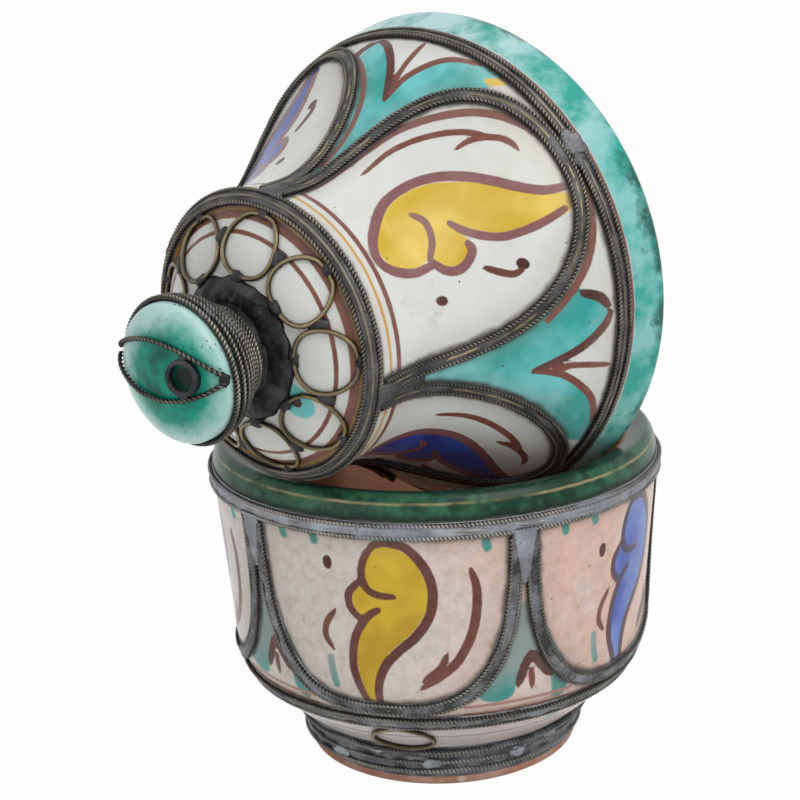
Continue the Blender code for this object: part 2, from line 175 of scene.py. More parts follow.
def attribute(coords, name):
    """The three numbers that a mesh keeps under a name."""
    kept = coords.node("ShaderNodeAttribute", {"attribute_name": name}, None, 1)
    return [kept.node("ShaderNodeSeparateXYZ", None, {0: kept}, axis) for axis in range(3)]


def bump(coords, height, strength, distance):
    return coords.node("ShaderNodeBump", None,
                       {"Height": height, "Strength": strength, "Distance": distance})


print("shader helpers ready")

# %% [markdown]
# ## The two thrown forms
#
# Bowl and lid were turned on a wheel, so each is one outline spun about its axis. The outline is
# a chain of smooth curves through the sizes of the solid model, in finer steps. A small class
# keeps it as radius and height, and answers for any length along it where the surface is and
# which way it faces. All the wire lies on these outlines, so every piece asks the same class.


# %% Outline of a turned form
def curve(start, pull_start, pull_end, end, steps=24):
    """Points along a cubic curve, without its first point."""
    t = np.linspace(0.0, 1.0, steps + 1)[1:, None]
    u = 1.0 - t
    weights = (u**3, 3 * u * u * t, 3 * u * t * t, t**3)
    pulls = (start, pull_start, pull_end, end)
    return [tuple(point) for point in sum(weight * np.array(pull) for weight, pull in zip(weights, pulls))]


def between(start, end, share):
    return start + (end - start) * share


class Outline:
    """The outer line of a turned form, in metres along its length."""

    def __init__(self, points):
        self.points = np.array(points)
        steps = np.diff(self.points, axis=0)
        sizes = np.hypot(*steps.T)
        self.lengths = np.concatenate(([0.0], np.cumsum(sizes)))
        sides = np.stack((steps[:, 1], -steps[:, 0]), axis=1) / sizes[:, None]
        normals = np.vstack((sides[:1], sides)) + np.vstack((sides, sides[-1:]))
        self.normals = normals / np.hypot(*normals.T)[:, None]

    def at(self, length):
        columns = (*self.points.T, *self.normals.T)
        return [np.interp(length, self.lengths, column) for column in columns]

    def height(self, height):
        """The length at which the outline first rises to a height."""
        rises = self.points[:, 1]
        index = next(i for i in range(len(rises) - 1) if rises[i] <= height < rises[i + 1])
        share = (height - rises[index]) / (rises[index + 1] - rises[index])
        return between(self.lengths[index], self.lengths[index + 1], share)

    def place(self, angle, length, lift=0.0):
        radius, rise, out, up = self.at(length)
        reach = radius + out * lift
        spot = np.broadcast_arrays(reach * np.cos(angle), reach * np.sin(angle), rise + up * lift)
        return np.stack(spot, axis=-1)

    def facing(self, angle, length):
        out, up = self.at(length)[2:]
        return np.stack(np.broadcast_arrays(out * np.cos(angle), out * np.sin(angle), up), axis=-1)


# %% Bowl outline
BOWL_HEIGHT = 0.0936
BASE_RADIUS = 0.0381
FOOT_RADIUS = 0.0394
FOOT_HEIGHT = 0.0105
FOOT_CHAMFER = 0.0018
BELLY_RADIUS = 0.0598
BELLY_HEIGHT = 0.0400
MOUTH_RADIUS = 0.0633
MOUTH_HEIGHT = 0.0866
CREST_RADIUS = 0.0603
LIP_RADIUS = 0.0540
LIP_HEIGHT = 0.0911
LIP_DEPTH = 0.0120
BOWL_WALL = 0.0060
BOWL_FLOOR = 0.0100


def bowl_outside():
    foot = (FOOT_RADIUS, FOOT_HEIGHT)
    belly = (BELLY_RADIUS, BELLY_HEIGHT)
    mouth = (MOUTH_RADIUS, MOUTH_HEIGHT)
    crest = (CREST_RADIUS, BOWL_HEIGHT)
    flare = between(FOOT_RADIUS, BELLY_RADIUS, 0.35), between(FOOT_HEIGHT, BELLY_HEIGHT, 0.24)
    rise = BELLY_RADIUS, between(BELLY_HEIGHT, FOOT_HEIGHT, 0.48)
    low = between(BELLY_RADIUS, MOUTH_RADIUS, 0.25), between(BELLY_HEIGHT, MOUTH_HEIGHT, 0.33)
    high = between(BELLY_RADIUS, MOUTH_RADIUS, 0.8), between(BELLY_HEIGHT, MOUTH_HEIGHT, 0.7)
    lip_out = MOUTH_RADIUS, between(MOUTH_HEIGHT, BOWL_HEIGHT, 0.6)
    lip_top = between(CREST_RADIUS, MOUTH_RADIUS, 0.4), BOWL_HEIGHT
    points = [(BASE_RADIUS, 0.0), (BASE_RADIUS + 0.0007, 0.0003), (FOOT_RADIUS, FOOT_CHAMFER), foot]
    points += curve(foot, flare, rise, belly, 60)
    points += curve(belly, low, high, mouth, 60)
    return points + curve(mouth, lip_out, lip_top, crest, 24)


def bowl_inside(outside):
    crest = (CREST_RADIUS, BOWL_HEIGHT)
    edge = (LIP_RADIUS, LIP_HEIGHT)
    over = between(CREST_RADIUS, LIP_RADIUS, 0.35), BOWL_HEIGHT
    inner = between(LIP_RADIUS, CREST_RADIUS, 0.08), between(LIP_HEIGHT, BOWL_HEIGHT, 0.7)
    mouth = outside.height(MOUTH_HEIGHT - LIP_DEPTH)
    radius, rise, out, up = outside.at(mouth)
    wall = (radius - out * BOWL_WALL, rise - up * BOWL_WALL)
    points = curve(crest, over, inner, edge, 14)
    points += curve(edge, (LIP_RADIUS, between(LIP_HEIGHT, wall[1], 0.5)),
                    (wall[0], between(wall[1], LIP_HEIGHT, 0.4)), wall, 8)
    for length in np.linspace(mouth, outside.height(FOOT_HEIGHT), 26)[1:]:
        radius, rise, out, up = outside.at(length)
        points.append((radius - out * BOWL_WALL, rise - up * BOWL_WALL))
    corner = points[-1]
    pulls = (corner[0] * 0.85, BOWL_FLOOR), (corner[0] * 0.7, BOWL_FLOOR)
    return points + curve(corner, *pulls, (0.0, BOWL_FLOOR), 10)


bowl = Outline(bowl_outside())
print("bowl outline", round(bowl.lengths[-1] * 1000, 1), "mm")

# %% Lid outline
LID_RIM = 0.0700
LID_RIM_ROUND = 0.0008
BRIM_RADIUS = 0.0655
BRIM_HEIGHT = 0.0155
COLLAR_RADIUS = 0.0382
COLLAR_HEIGHT = 0.0680
SHOULDER_HEIGHT = 0.0795
SHOULDER_ROUND = 0.0045
DOME_RISE = 0.0085
NECK_RADIUS = 0.0108
NECK_ROUND = 0.0020
KNOB_RADIUS = 0.0181
KNOB_HEIGHT = 0.0170
KNOB_EDGE = 0.0020
KNOB_DOME = 0.0068
LID_WALL = 0.0060
NECK_HEIGHT = SHOULDER_HEIGHT + DOME_RISE + NECK_ROUND


def lid_outside():
    rim = (LID_RIM, LID_RIM_ROUND)
    brim = (BRIM_RADIUS, BRIM_HEIGHT)
    collar = (COLLAR_RADIUS, COLLAR_HEIGHT)
    flank_low = BRIM_RADIUS, between(BRIM_HEIGHT, COLLAR_HEIGHT, 0.14)
    flank_high = COLLAR_RADIUS, between(COLLAR_HEIGHT, BRIM_HEIGHT, 0.38)
    corner = (COLLAR_RADIUS, SHOULDER_HEIGHT - SHOULDER_ROUND)
    inset = (COLLAR_RADIUS - SHOULDER_ROUND, SHOULDER_HEIGHT)
    neck_foot = (NECK_RADIUS + NECK_ROUND, SHOULDER_HEIGHT + DOME_RISE)
    neck = (NECK_RADIUS, NECK_HEIGHT)
    knob_low = (KNOB_RADIUS, NECK_HEIGHT + KNOB_HEIGHT)
    knob_high = (KNOB_RADIUS, knob_low[1] + KNOB_EDGE)
    crown = (0.0, knob_high[1] + KNOB_DOME)
    dome_out = between(inset[0], neck_foot[0], 0.2), between(inset[1], neck_foot[1], 0.55)
    dome_in = between(inset[0], neck_foot[0], 0.6), neck_foot[1]
    waist_low = NECK_RADIUS, between(neck[1], knob_low[1], 0.35)
    waist_high = KNOB_RADIUS, between(neck[1], knob_low[1], 0.6)
    crown_out = KNOB_RADIUS * 0.97, between(knob_high[1], crown[1], 0.55)
    points = [(LID_RIM - LID_RIM_ROUND, 0.0), (LID_RIM - 0.0002, 0.0003), rim]
    points += curve(rim, rim, brim, brim, 20)
    points += curve(brim, flank_low, flank_high, collar, 80)
    points.append(corner)
    points += curve(corner, (corner[0], between(corner[1], inset[1], 0.55)),
                    (between(inset[0], corner[0], 0.55), inset[1]), inset, 16)
    points += curve(inset, dome_out, dome_in, neck_foot, 30)
    points += curve(neck_foot, (NECK_RADIUS + 0.0006, neck_foot[1] + 0.0002),
                    (NECK_RADIUS, neck[1] - 0.0008), neck, 6)
    points += curve(neck, waist_low, waist_high, knob_low, 20)
    points.append(knob_high)
    return points + curve(knob_high, crown_out, (KNOB_RADIUS * 0.5, crown[1]), crown, 30)


def lid_inside(outside):
    low = outside.height(BRIM_HEIGHT)
    high = outside.height(COLLAR_HEIGHT)
    ceiling = SHOULDER_HEIGHT - LID_WALL
    points = [(LID_RIM - LID_WALL, 0.0)]
    for length in np.linspace(low, high, 26):
        radius, rise, out, up = outside.at(length)
        points.append((radius - out * LID_WALL, rise - up * LID_WALL))
    top = points[-1]
    points += curve(top, (top[0], ceiling), (top[0], ceiling), (top[0] * 0.7, ceiling), 8)
    return points + [(0.0, ceiling)]


lid = Outline(lid_outside())
print("lid outline", round(lid.lengths[-1] * 1000, 1), "mm")

# %% How the lid lies on the bowl
LID_LEAN = math.radians(4.49)
LID_AZIMUTH = math.radians(40.6)
LID_BEHIND = 0.01309
LID_CENTRE = 0.13943


def lid_place():
    """The lid's own frame: Z along its axis to the knob, X level, Y downwards."""
    away = Vector((math.sin(LID_AZIMUTH), math.cos(LID_AZIMUTH), 0.0))
    axis = -away * math.cos(LID_LEAN) - Vector((0, 0, math.sin(LID_LEAN)))
    level = axis.cross(Vector((0, 0, 1))).normalized()
    turn = Matrix((level, axis.cross(level), axis)).transposed().to_4x4()
    return Matrix.Translation(away * LID_BEHIND + Vector((0, 0, LID_CENTRE))) @ turn


PLACES = {"bowl": Matrix.Identity(4), "lid": lid_place()}
FORMS = {"bowl": bowl, "lid": lid}
print("lid rim centre", [round(v, 4) for v in PLACES["lid"].translation])

# %% [markdown]
# ## Putting a piece in the scene
#
# Every piece keeps its place in its mesh, so its object stays at the origin. It rides on the bowl
# or on the lid, stands for the solids that it hides, and takes one of the part's finishes.


def add_piece(name, mesh, material, body, nodes=()):
    """Puts a mesh in the scene as one piece of a body, in the place of some solids."""
    mesh.name = name
    mesh.materials.clear()
    mesh.materials.append(material)
    piece = bpy.data.objects.new(name, mesh)
    bpy.context.scene.collection.objects.link(piece)
    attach(piece, body)
    if nodes:
        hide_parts(*nodes)
    return piece


def as_mesh(bm, name):
    """Ends an edit and hands over its mesh."""
    mesh = bpy.data.meshes.new(name)
    bm.to_mesh(mesh)
    bm.free()
    mesh.shade_smooth()
    return mesh


def spin_mesh(points, steps, placing):
    """An outline spun once about the upright axis and set in its place."""
    bm = bmesh.new()
    line = [bm.verts.new((radius, 0.0, height)) for radius, height in points]
    for pair in zip(line, line[1:]):
        bm.edges.new(pair)
    bmesh.ops.spin(bm, geom=bm.verts[:] + bm.edges[:], cent=(0, 0, 0), axis=(0, 0, 1),
                   angle=math.tau, steps=steps, use_merge=True)
    bmesh.ops.remove_doubles(bm, verts=bm.verts[:], dist=1e-6)
    bmesh.ops.recalc_face_normals(bm, faces=bm.faces[:])
    bmesh.ops.transform(bm, matrix=placing, verts=bm.verts[:])
    return as_mesh(bm, "turned")


def corners(mesh, placing):
    """All vertices of a mesh in the frame of the form that it belongs to."""
    flat = np.empty(len(mesh.vertices) * 3)
    mesh.vertices.foreach_get("co", flat)
    turned_back = np.array(placing.inverted())
    return flat.reshape(-1, 3) @ turned_back[:3, :3].T + turned_back[:3, 3]


def keep(mesh, name, *columns):
    """Stores three numbers for each vertex under a name."""
    kept = mesh.attributes.new(name, "FLOAT_VECTOR", "POINT")
    kept.data.foreach_set("vector", np.stack(columns, axis=1).astype(np.float32).ravel())


print("piece helpers ready")

# %% [markdown]
# ## Where the wires run
#
# The bowl's rim and waist and the lid's rim and shoulder each carry a band: a twisted cord, a
# plain ridge wire and another twisted cord. Five petals hang from the bowl's rim, and five rise
# from the lid's shoulder. Each petal's frame is such a triple line too, bent to a rounded arch.
# The lines are needed before the wire itself, because grime and painted shade lie on the glaze beside them.

# %% Lines of the bands and petals
FIRST_BOWL_STEM = -141
FIRST_LID_STEM = 164.3
LID_FRONT_PETAL = 96.5
LID_OTHER_PETAL = (360 - LID_FRONT_PETAL) / 4
BOWL_STEMS = [FIRST_BOWL_STEM + 72 * number for number in range(5)]
BOWL_BAND_DROP = 0.0023
WAIST_HEIGHT = 0.0275
WAIST_PETAL_GAP = 0.0009
LID_BAND_HEIGHT = 0.0136
BOWL_SQUARENESS = 3.0
LID_SQUARENESS = 1.95
LID_FRONT_SQUARENESS = 2.75
CORD = 0.0015
RIDGE = 0.0012
GAP = 0.0003
BAND_STEP = RIDGE / 2 + GAP + CORD / 2
BAND_HALF = RIDGE / 2 + GAP + CORD
shoulder_corner = lid.height(SHOULDER_HEIGHT - SHOULDER_ROUND - 1e-6)
BANDS = {
    "bowl_rim": ("bowl", bowl.height(MOUTH_HEIGHT - BOWL_BAND_DROP)),
    "waist": ("bowl", bowl.height(WAIST_HEIGHT)),
    "lid_rim": ("lid", lid.height(LID_BAND_HEIGHT)),
    "lid_shoulder": ("lid", shoulder_corner + SHOULDER_ROUND * math.pi / 4),
}
FRAME_CORD = 0.0013
FRAME_RIDGE = 0.0010
FRAME_STEP = FRAME_RIDGE / 2 + GAP + FRAME_CORD / 2
FRAME_HALF = FRAME_STEP + FRAME_CORD / 2


def arch(centre, half_angle, open_end, tip, square_first, square_last, radius, count=160):
    """A petal's outline, from one foot to the other, in evenly spaced angles and lengths."""
    turn = np.linspace(0.0, math.pi, 1201)
    power = 2 / np.where(turn > math.pi / 2, square_last, square_first)
    across = np.sign(np.cos(turn)) * np.abs(np.cos(turn)) ** power
    angle = centre - half_angle * across
    length = between(open_end, tip, np.abs(np.sin(turn)) ** power)
    walked = np.concatenate(([0.0], np.cumsum(np.hypot(np.diff(angle) * radius, np.diff(length)))))
    goals = np.linspace(0, walked[-1], count + 1)
    return np.interp(goals, walked, angle), np.interp(goals, walked, length)


def petal_outlines():
    """Every petal's name, body and outline."""
    found = []
    open_end = BANDS["bowl_rim"][1] - BAND_HALF - GAP
    radius = bowl.at(open_end)[0]
    tip = BANDS["waist"][1] + BAND_HALF + WAIST_PETAL_GAP + FRAME_HALF
    half = math.tau / 10 - (FRAME_HALF + GAP) / radius
    square = (BOWL_SQUARENESS, BOWL_SQUARENESS)
    for number, stem in enumerate(BOWL_STEMS):
        centre = math.radians(stem + 36)
        found.append((f"bowl_petal_{number + 1}", "bowl", arch(centre, half, open_end, tip, *square, radius)))
    open_end = BANDS["lid_shoulder"][1] - BAND_HALF - GAP
    radius = lid.at(open_end)[0]
    tip = BANDS["lid_rim"][1] + BAND_HALF + GAP + FRAME_HALF
    margin = (FRAME_HALF + GAP) / radius
    after_front = FIRST_LID_STEM + LID_FRONT_PETAL
    stems = [FIRST_LID_STEM] + [after_front + LID_OTHER_PETAL * number for number in range(5)]
    for number, (first, last) in enumerate(zip(stems, stems[1:])):
        centre = math.radians((first + last) / 2)
        half = math.radians(last - first) / 2 - margin
        square = (LID_SQUARENESS, LID_SQUARENESS if number else LID_FRONT_SQUARENESS)
        found.append((f"lid_petal_{number + 1}", "lid", arch(centre, half, open_end, tip, *square, radius)))
    return found


PETALS = petal_outlines()
print("bands", {label: round(middle * 1000, 1) for label, (body, middle) in BANDS.items()})
print("petals", len(PETALS))

# %% [markdown]
# ## Brushwork
#
# The painter worked freehand on the raw white glaze: a curled leaf in every petal, a fleur
# between the petals, dots, commas and rings. A stroke here is a short list of places, in degrees
# round the form and millimetres along its outline. For every vertex the nearest stroke is found
# and its distance is stored, with a sign for its side. The material cuts the paint's edge from
# that distance, so a line stays crisp though the mesh is much coarser than the line.


# %% Strokes and their distances
PAINT_MARGIN = 6.0
METAL_MARGIN = 8.0


def through(points, closed=False, steps=6):
    """A smooth line through a few points."""
    points = [np.array(point, float) for point in points]
    count = len(points)
    if count < 3 and not closed:
        return np.array(points)
    line = []
    for index in range(count if closed else count - 1):
        ring = [points[(index + k) % count] if closed else points[min(max(index + k, 0), count - 1)]
                for k in (-1, 0, 1, 2)]
        for t in np.arange(steps) / steps:
            line.append(0.5 * (2 * ring[1] + (ring[2] - ring[0]) * t
                               + (2 * ring[0] - 5 * ring[1] + 4 * ring[2] - ring[3]) * t**2
                               + (3 * ring[1] - ring[0] - 3 * ring[2] + ring[3]) * t**3))
    line.append(points[0] if closed else points[-1])
    return np.array(line)


class Brushwork:
    """All strokes on one form, and the distance of each vertex to them."""

    def __init__(self, angle, length, radius):
        self.angle = angle
        self.length = length
        self.radius = radius * math.pi / 180
        far = np.full(len(angle), 99.0)
        self.side = far.copy()
        self.away = far.copy()
        self.width = np.full(len(angle), 0.5)
        self.tone = np.full(len(angle), 0.5)
        self.metal = far.copy()
        self.fills = {"yellow": far.copy(), "blue": far.copy(), "teal": far.copy()}

    def near(self, line, margin):
        """The vertices near a line, and their angles counted on from it."""
        middle = (line[:, 0].min() + line[:, 0].max()) / 2
        turned = (self.angle - middle + 180) % 360 - 180
        reach = (line[:, 0].max() - line[:, 0].min()) / 2 + margin / 0.2
        close = (abs(turned) < reach) & (self.length > line[:, 1].min() - margin)
        close = np.nonzero(close & (self.length < line[:, 1].max() + margin))[0]
        return close, turned[close] + middle

    def reach(self, close, angle, line):
        """Distance, side and share along the line for some vertices."""
        size = self.radius[close][:, None]
        ax = (angle[:, None] - line[None, :-1, 0]) * size
        ay = self.length[close][:, None] - line[None, :-1, 1]
        ex = np.diff(line[:, 0])[None] * size
        ey = np.diff(line[:, 1])[None]
        share = np.clip((ax * ex + ay * ey) / np.maximum(ex**2 + ey**2, 1e-9), 0, 1)
        gap = np.hypot(ax - share * ex, ay - share * ey)
        best = gap.argmin(axis=1)
        rows = np.arange(len(best))
        side = np.sign((ex * ay - ey * ax)[rows, best])
        return gap[rows, best], side, (best + share[rows, best]) / (len(line) - 1)

    def line(self, width, points, tone=0.5, taper=0.5):
        """A brown stroke with its half width in millimetres."""
        line = through(points)
        close, angle = self.near(line, PAINT_MARGIN)
        gap, side, share = self.reach(close, angle, line)
        half = width * (1 - taper * (2 * share - 1) ** 4)
        nearer = gap - half < self.away[close] - self.width[close]
        spots = close[nearer]
        self.side[spots] = (gap * side)[nearer]
        self.away[spots] = gap[nearer]
        self.width[spots] = half[nearer]
        self.tone[spots] = tone

    def band(self, width, middle, tone=0.5):
        """A brown line drawn all round on the wheel."""
        gap = self.length - middle
        spots = abs(gap) - width < self.away - self.width
        self.side[spots] = gap[spots]
        self.away[spots] = abs(gap)[spots]
        self.width[spots] = width
        self.tone[spots] = tone

    def dab(self, paint, width, points):
        """A broad stroke of a colour."""
        line = through(points)
        close, angle = self.near(line, PAINT_MARGIN)
        gap = self.reach(close, angle, line)[0] - width
        self.fills[paint][close] = np.minimum(self.fills[paint][close], gap)

    def motif(self, marks, shift, scale=1.0, rise=0.0):
        """Brown strokes of one motif, each with its half width, places, tone and taper."""
        for width, points, tone, taper in marks:
            self.line(width, moved(points, shift, scale, rise), tone, taper)

    def beside_metal(self, line, half):
        """Keeps how far each vertex is from the edge of a band or a frame."""
        close, angle = self.near(line, METAL_MARGIN)
        gap = self.reach(close, angle, line)[0] - half
        self.metal[close] = np.minimum(self.metal[close], gap)

    def area(self, paint, points):
        """A filled shape."""
        line = through(points, True)
        close, angle = self.near(line, PAINT_MARGIN)
        gap = self.reach(close, angle, line)[0]
        length = self.length[close][:, None]
        a, b = line[None, :-1], line[None, 1:]
        crosses = (a[..., 1] > length) != (b[..., 1] > length)
        slope = np.where(crosses, b[..., 1] - a[..., 1], 1.0)
        meets = a[..., 0] + (length - a[..., 1]) / slope * (b[..., 0] - a[..., 0])
        inside = (crosses & (angle[:, None] < meets)).sum(axis=1) % 2 == 1
        self.fills[paint][close] = np.minimum(self.fills[paint][close], np.where(inside, -gap, gap))


def moved(points, shift, scale=1.0, rise=0.0):
    """A stroke moved and stretched round the form, and moved along its outline."""
    return [(shift + scale * angle, length + rise) for angle, length in points]


print("brush ready")

# %% [markdown]
# ## The strokes on the bowl
#
# Each of the five petals holds the same motif: a curled leaf in yellow or blue with a brown
# outline, a sickle with a barb, a dot and a comma. An upside-down V in grey green stands between
# the petals. No two petals were painted quite alike, so each copy is shifted a little.

# %% Bowl strokes
BOWL_LEAVES = [("yellow", 0.0, 0.0, 0.0), ("blue", 0.6, 0.2, 2.6), ("yellow", -1.0, -0.6, 0.8),
               ("blue", 0.8, 0.4, -0.5), ("blue", -1.6, 0.2, 1.2)]
LEAF_BACK = [(-0.4, 88.3), (2.8, 89.2), (7.4, 87.9), (10.8, 83.9), (13.0, 78.8), (13.5, 73.0), (12.1, 67.2),
             (8.7, 62.0), (4.3, 57.7), (0.7, 53.1), (-1.2, 47.5), (-1.2, 42.5)]
LEAF_NOTCH = [(-0.4, 88.3), (-2.6, 84.8), (-3.7, 80.4), (-2.7, 75.9), (0.2, 74.1), (3.9, 73.8)]
LEAF_LOBE = [(-4.1, 78.0), (-7.3, 74.2), (-7.3, 70.1), (-5.4, 67.4), (-3.4, 66.5)]
LEAF_BELLY = [(-0.1, 69.7), (-3.1, 67.4), (-6.4, 61.7), (-7.8, 54.1), (-6.9, 48.3), (-4.4, 42.0)]
LEAF_FILL = [(0.2, 88.0), (3.9, 88.0), (8.4, 85.0), (11.4, 79.0), (12.2, 73.0), (10.6, 67.8), (7.2, 62.8),
             (2.6, 58.1), (-0.8, 52.6), (-2.2, 45.8), (-2.6, 42.5), (-4.2, 43.5), (-5.9, 50.0), (-6.6, 55.9),
             (-5.4, 61.9), (-2.8, 66.6), (-4.6, 68.2), (-6.4, 71.2), (-5.6, 75.0), (-2.9, 77.0), (-3.0, 81.1),
             (-2.0, 84.8)]
SICKLE = [(22.8, 81.0), (24.0, 76.6), (24.2, 70.8), (23.1, 63.6), (21.0, 58.0), (18.4, 53.8), (14.6, 50.4),
          (10.1, 47.2)]
BARB = [(16.5, 56.8), (14.8, 53.1), (10.7, 49.6)]
COMMA = [(-11.6, 68.3), (-14.3, 64.3), (-15.0, 60.3), (-13.2, 57.0)]
DRIP = [(-14.1, 53.9), (-13.9, 50.1), (-13.1, 46.2)]
SPANDREL = [(1.5, 70.0), (-2.5, 63.5), (-6.5, 56.5), (-9.5, 50.0), (-10.8, 44.0), (-6.0, 41.5), (-2.2, 43.0),
            (-1.0, 47.0), (0.8, 51.5), (3.2, 55.5), (6.2, 51.5), (8.8, 47.5), (9.8, 43.5), (10.6, 39.5),
            (13.6, 39.2), (14.2, 47.0), (9.8, 56.0), (5.5, 64.5)]
LEAF_TONE = (0.78, 0.25)
LEAF_MARKS = [(1.35, LEAF_BACK, *LEAF_TONE), (1.1, LEAF_NOTCH, *LEAF_TONE), (1.1, LEAF_LOBE, *LEAF_TONE),
              (1.2, LEAF_BELLY, *LEAF_TONE), (1.35, SICKLE, 0.7, 0.5), (1.0, BARB, 0.7, 0.5)]
COMMA_MARK = [(0.95, COMMA, 0.65, 0.5)]
DOT_MARK = [(1.35, [(-12.5, 83.0), (-12.5, 81.4)], 1.0, 0.1)]
RIM_DRIPS = [(26.5, 88.6), (-25.5, 89.4), (-16.0, 89.6)]
STEM_MARKS = [(1.4, [(-1.2, 45.6), (0.4, 50.4), (2.4, 54.8)], 1.0, 0.6),
              (1.6, [(2.4, 54.8), (5.2, 51.2), (8.2, 46.8)], 1.0, 0.6),
              (0.95, [(2.4, 50.0), (2.8, 44.5)], 0.6, 0.5), (1.1, [(-12.6, 47.6), (-11.2, 45.4)], 0.75, 0.5)]
STEM_MARKS += [(0.6, [(-15, length), (0, length + 0.3), (15, length)], -0.9, 0.1)
               for length in (35.2, 37.8, 40.4)]
BOWL_RINGS = [(0.6, 32.6, 0.2), (0.5, 25.6, 0.1)]
FOOT_DABS = [-55.8, 41.0, 152.0, -170.0]


def paint_bowl(brush):
    """All strokes on the bowl."""
    for stem, (paint, shift, rise, strayed) in zip(BOWL_STEMS, BOWL_LEAVES):
        middle = stem + 36 + shift
        brush.area(paint, moved(LEAF_FILL, middle, 1, rise))
        brush.motif(LEAF_MARKS, middle, 1, rise)
        brush.motif(COMMA_MARK, middle + strayed, 1, rise - strayed)
        brush.motif(DOT_MARK, middle, 1, -1.4 * strayed)
        brush.dab("teal", 0.75, moved(DRIP, middle, 1, rise))
        for angle, length in RIM_DRIPS:
            brush.dab("teal", 0.9, [(middle + angle, length), (middle + angle + 0.4, length - 1.6)])
    for stem in BOWL_STEMS:
        brush.area("teal", moved(SPANDREL, stem - 0.8))
        brush.motif(STEM_MARKS, stem)
    for width, length, tone in BOWL_RINGS:
        brush.band(width, length, tone)
    for angle in FOOT_DABS:
        brush.dab("teal", 1.6, [(angle, 29.5), (angle + 1.5, 27.0)])


print("bowl petals", [leaf[0] for leaf in BOWL_LEAVES])

# %% [markdown]
# ## The strokes on the lid
#
# The lid repeats the idea upside down: leaves curl from the shoulder to the rim, the front petal
# is wider than the other four, and a turquoise fleur opens to the rim between the petals. Rings
# drawn on the wheel run along the shoulder and through the middle of the wire rings on the top.

# %% Lid strokes
LID_PETALS = [(212.55, 1.0, 0.0, "yellow"), (293.75, 0.68, 6.0, "blue"), (359.6, 0.68, -2.0, "yellow"),
              (65.5, 0.68, 1.5, "blue"), (131.35, 0.68, -8.0, "blue")]
LID_STEMS = [164.3, 260.8, 326.7, 32.5, 98.4]
LONG_ARC = [(33.7, 61.5), (33.6, 53.4), (30.8, 46.5), (26.1, 39.8), (21.7, 35.1), (17.4, 32.1), (14.8, 30.3)]
SHORT_ARC = [(19.6, 39.6), (19.0, 35.7), (17.1, 32.3), (14.6, 29.5), (12.3, 28.2), (10.0, 27.7)]
LID_LEAF_BACK = [(-3.4, 22.2), (-2.2, 27.4), (1.3, 32.7), (6.8, 38.3), (12.4, 43.9), (17.3, 50.2),
                 (19.8, 56.8), (19.4, 63.7), (14.6, 69.5), (7.0, 74.6), (0.1, 75.5), (-5.1, 72.7),
                 (-8.5, 67.5), (-8.3, 62.9)]
LID_LEAF_LOBE = [(-7.3, 62.0), (-11.4, 59.6), (-13.0, 56.4), (-11.7, 53.2), (-8.7, 51.0), (-6.3, 51.3)]
LID_LEAF_NOTCH = [(10.3, 60.3), (5.9, 58.5), (-0.5, 59.4), (-5.8, 62.1)]
LID_LEAF_BELLY = [(1.7, 53.1), (-2.6, 50.6), (-6.4, 46.5), (-8.7, 41.8), (-9.3, 35.1), (-8.9, 29.3),
                  (-8.1, 24.7)]
LID_LEAF_FILL = [(-5.4, 22.4), (-2.4, 29.2), (4.4, 37.3), (10.8, 45.0), (16.2, 52.6), (18.0, 60.0),
                 (14.6, 67.4), (6.6, 73.2), (0.0, 73.6), (-5.0, 70.4), (-6.8, 65.3), (-5.0, 61.9),
                 (-8.6, 60.8), (-11.6, 57.2), (-10.9, 53.2), (-8.0, 51.0), (-4.0, 51.6), (0.3, 53.4),
                 (-1.5, 51.4), (-5.2, 47.2), (-8.1, 41.2), (-8.9, 34.5), (-8.9, 27.8), (-8.6, 23.6)]
LID_COMMA = [(-15.3, 49.3), (-17.7, 46.1), (-19.4, 43.0), (-19.1, 40.5)]
FLEUR_WIDE = [(3.0, 68.0), (6.0, 61.0), (8.5, 55.0), (12.0, 47.5), (16.5, 40.0), (20.0, 35.0), (21.5, 30.5),
              (20.0, 25.0)]
FLEUR_SLIM = [(3.0, 66.0), (5.0, 58.0), (7.5, 50.0), (10.0, 43.0), (12.6, 37.0), (15.6, 31.0), (17.0, 26.0),
              (16.5, 22.0)]
FLEUR_REST = [(17.5, 20.0), (11.0, 20.4), (6.5, 25.7), (3.3, 32.1), (-0.7, 38.0), (-1.9, 31.3), (-4.2, 25.2),
              (-8.8, 20.3), (-15.3, 17.4), (-21.5, 17.4), (-20.5, 23.5), (-15.8, 30.0), (-11.4, 37.0),
              (-8.8, 43.0), (-7.4, 49.0), (-5.5, 58.0), (-3.0, 67.0)]
FLEUR_UPPER = [(-0.4, 38.6), (2.8, 32.1), (6.5, 25.7), (11.0, 20.4), (13.9, 18.6)]
FLEUR_LOWER = [(-0.4, 38.6), (-1.3, 31.4), (-4.5, 25.1), (-8.8, 20.3), (-15.4, 17.2)]
FLEUR_MIDDLE = [(0.4, 33.0), (1.2, 27.4), (0.9, 18.4)]
FLEUR_TICK = [(19.7, 25.9), (17.9, 21.5), (15.6, 19.3)]
FRONT_BORDER = [(254.6, 78.4), (254.0, 63.3), (250.6, 48.7), (245.6, 39.9), (239.0, 31.8), (233.5, 26.8),
                (227.0, 22.8), (219.0, 19.8), (209.0, 17.9), (200.0, 19.0), (191.8, 22.9), (185.5, 28.2),
                (178.5, 35.8)]
LID_LEAF_TONE = (0.12, 0.25)
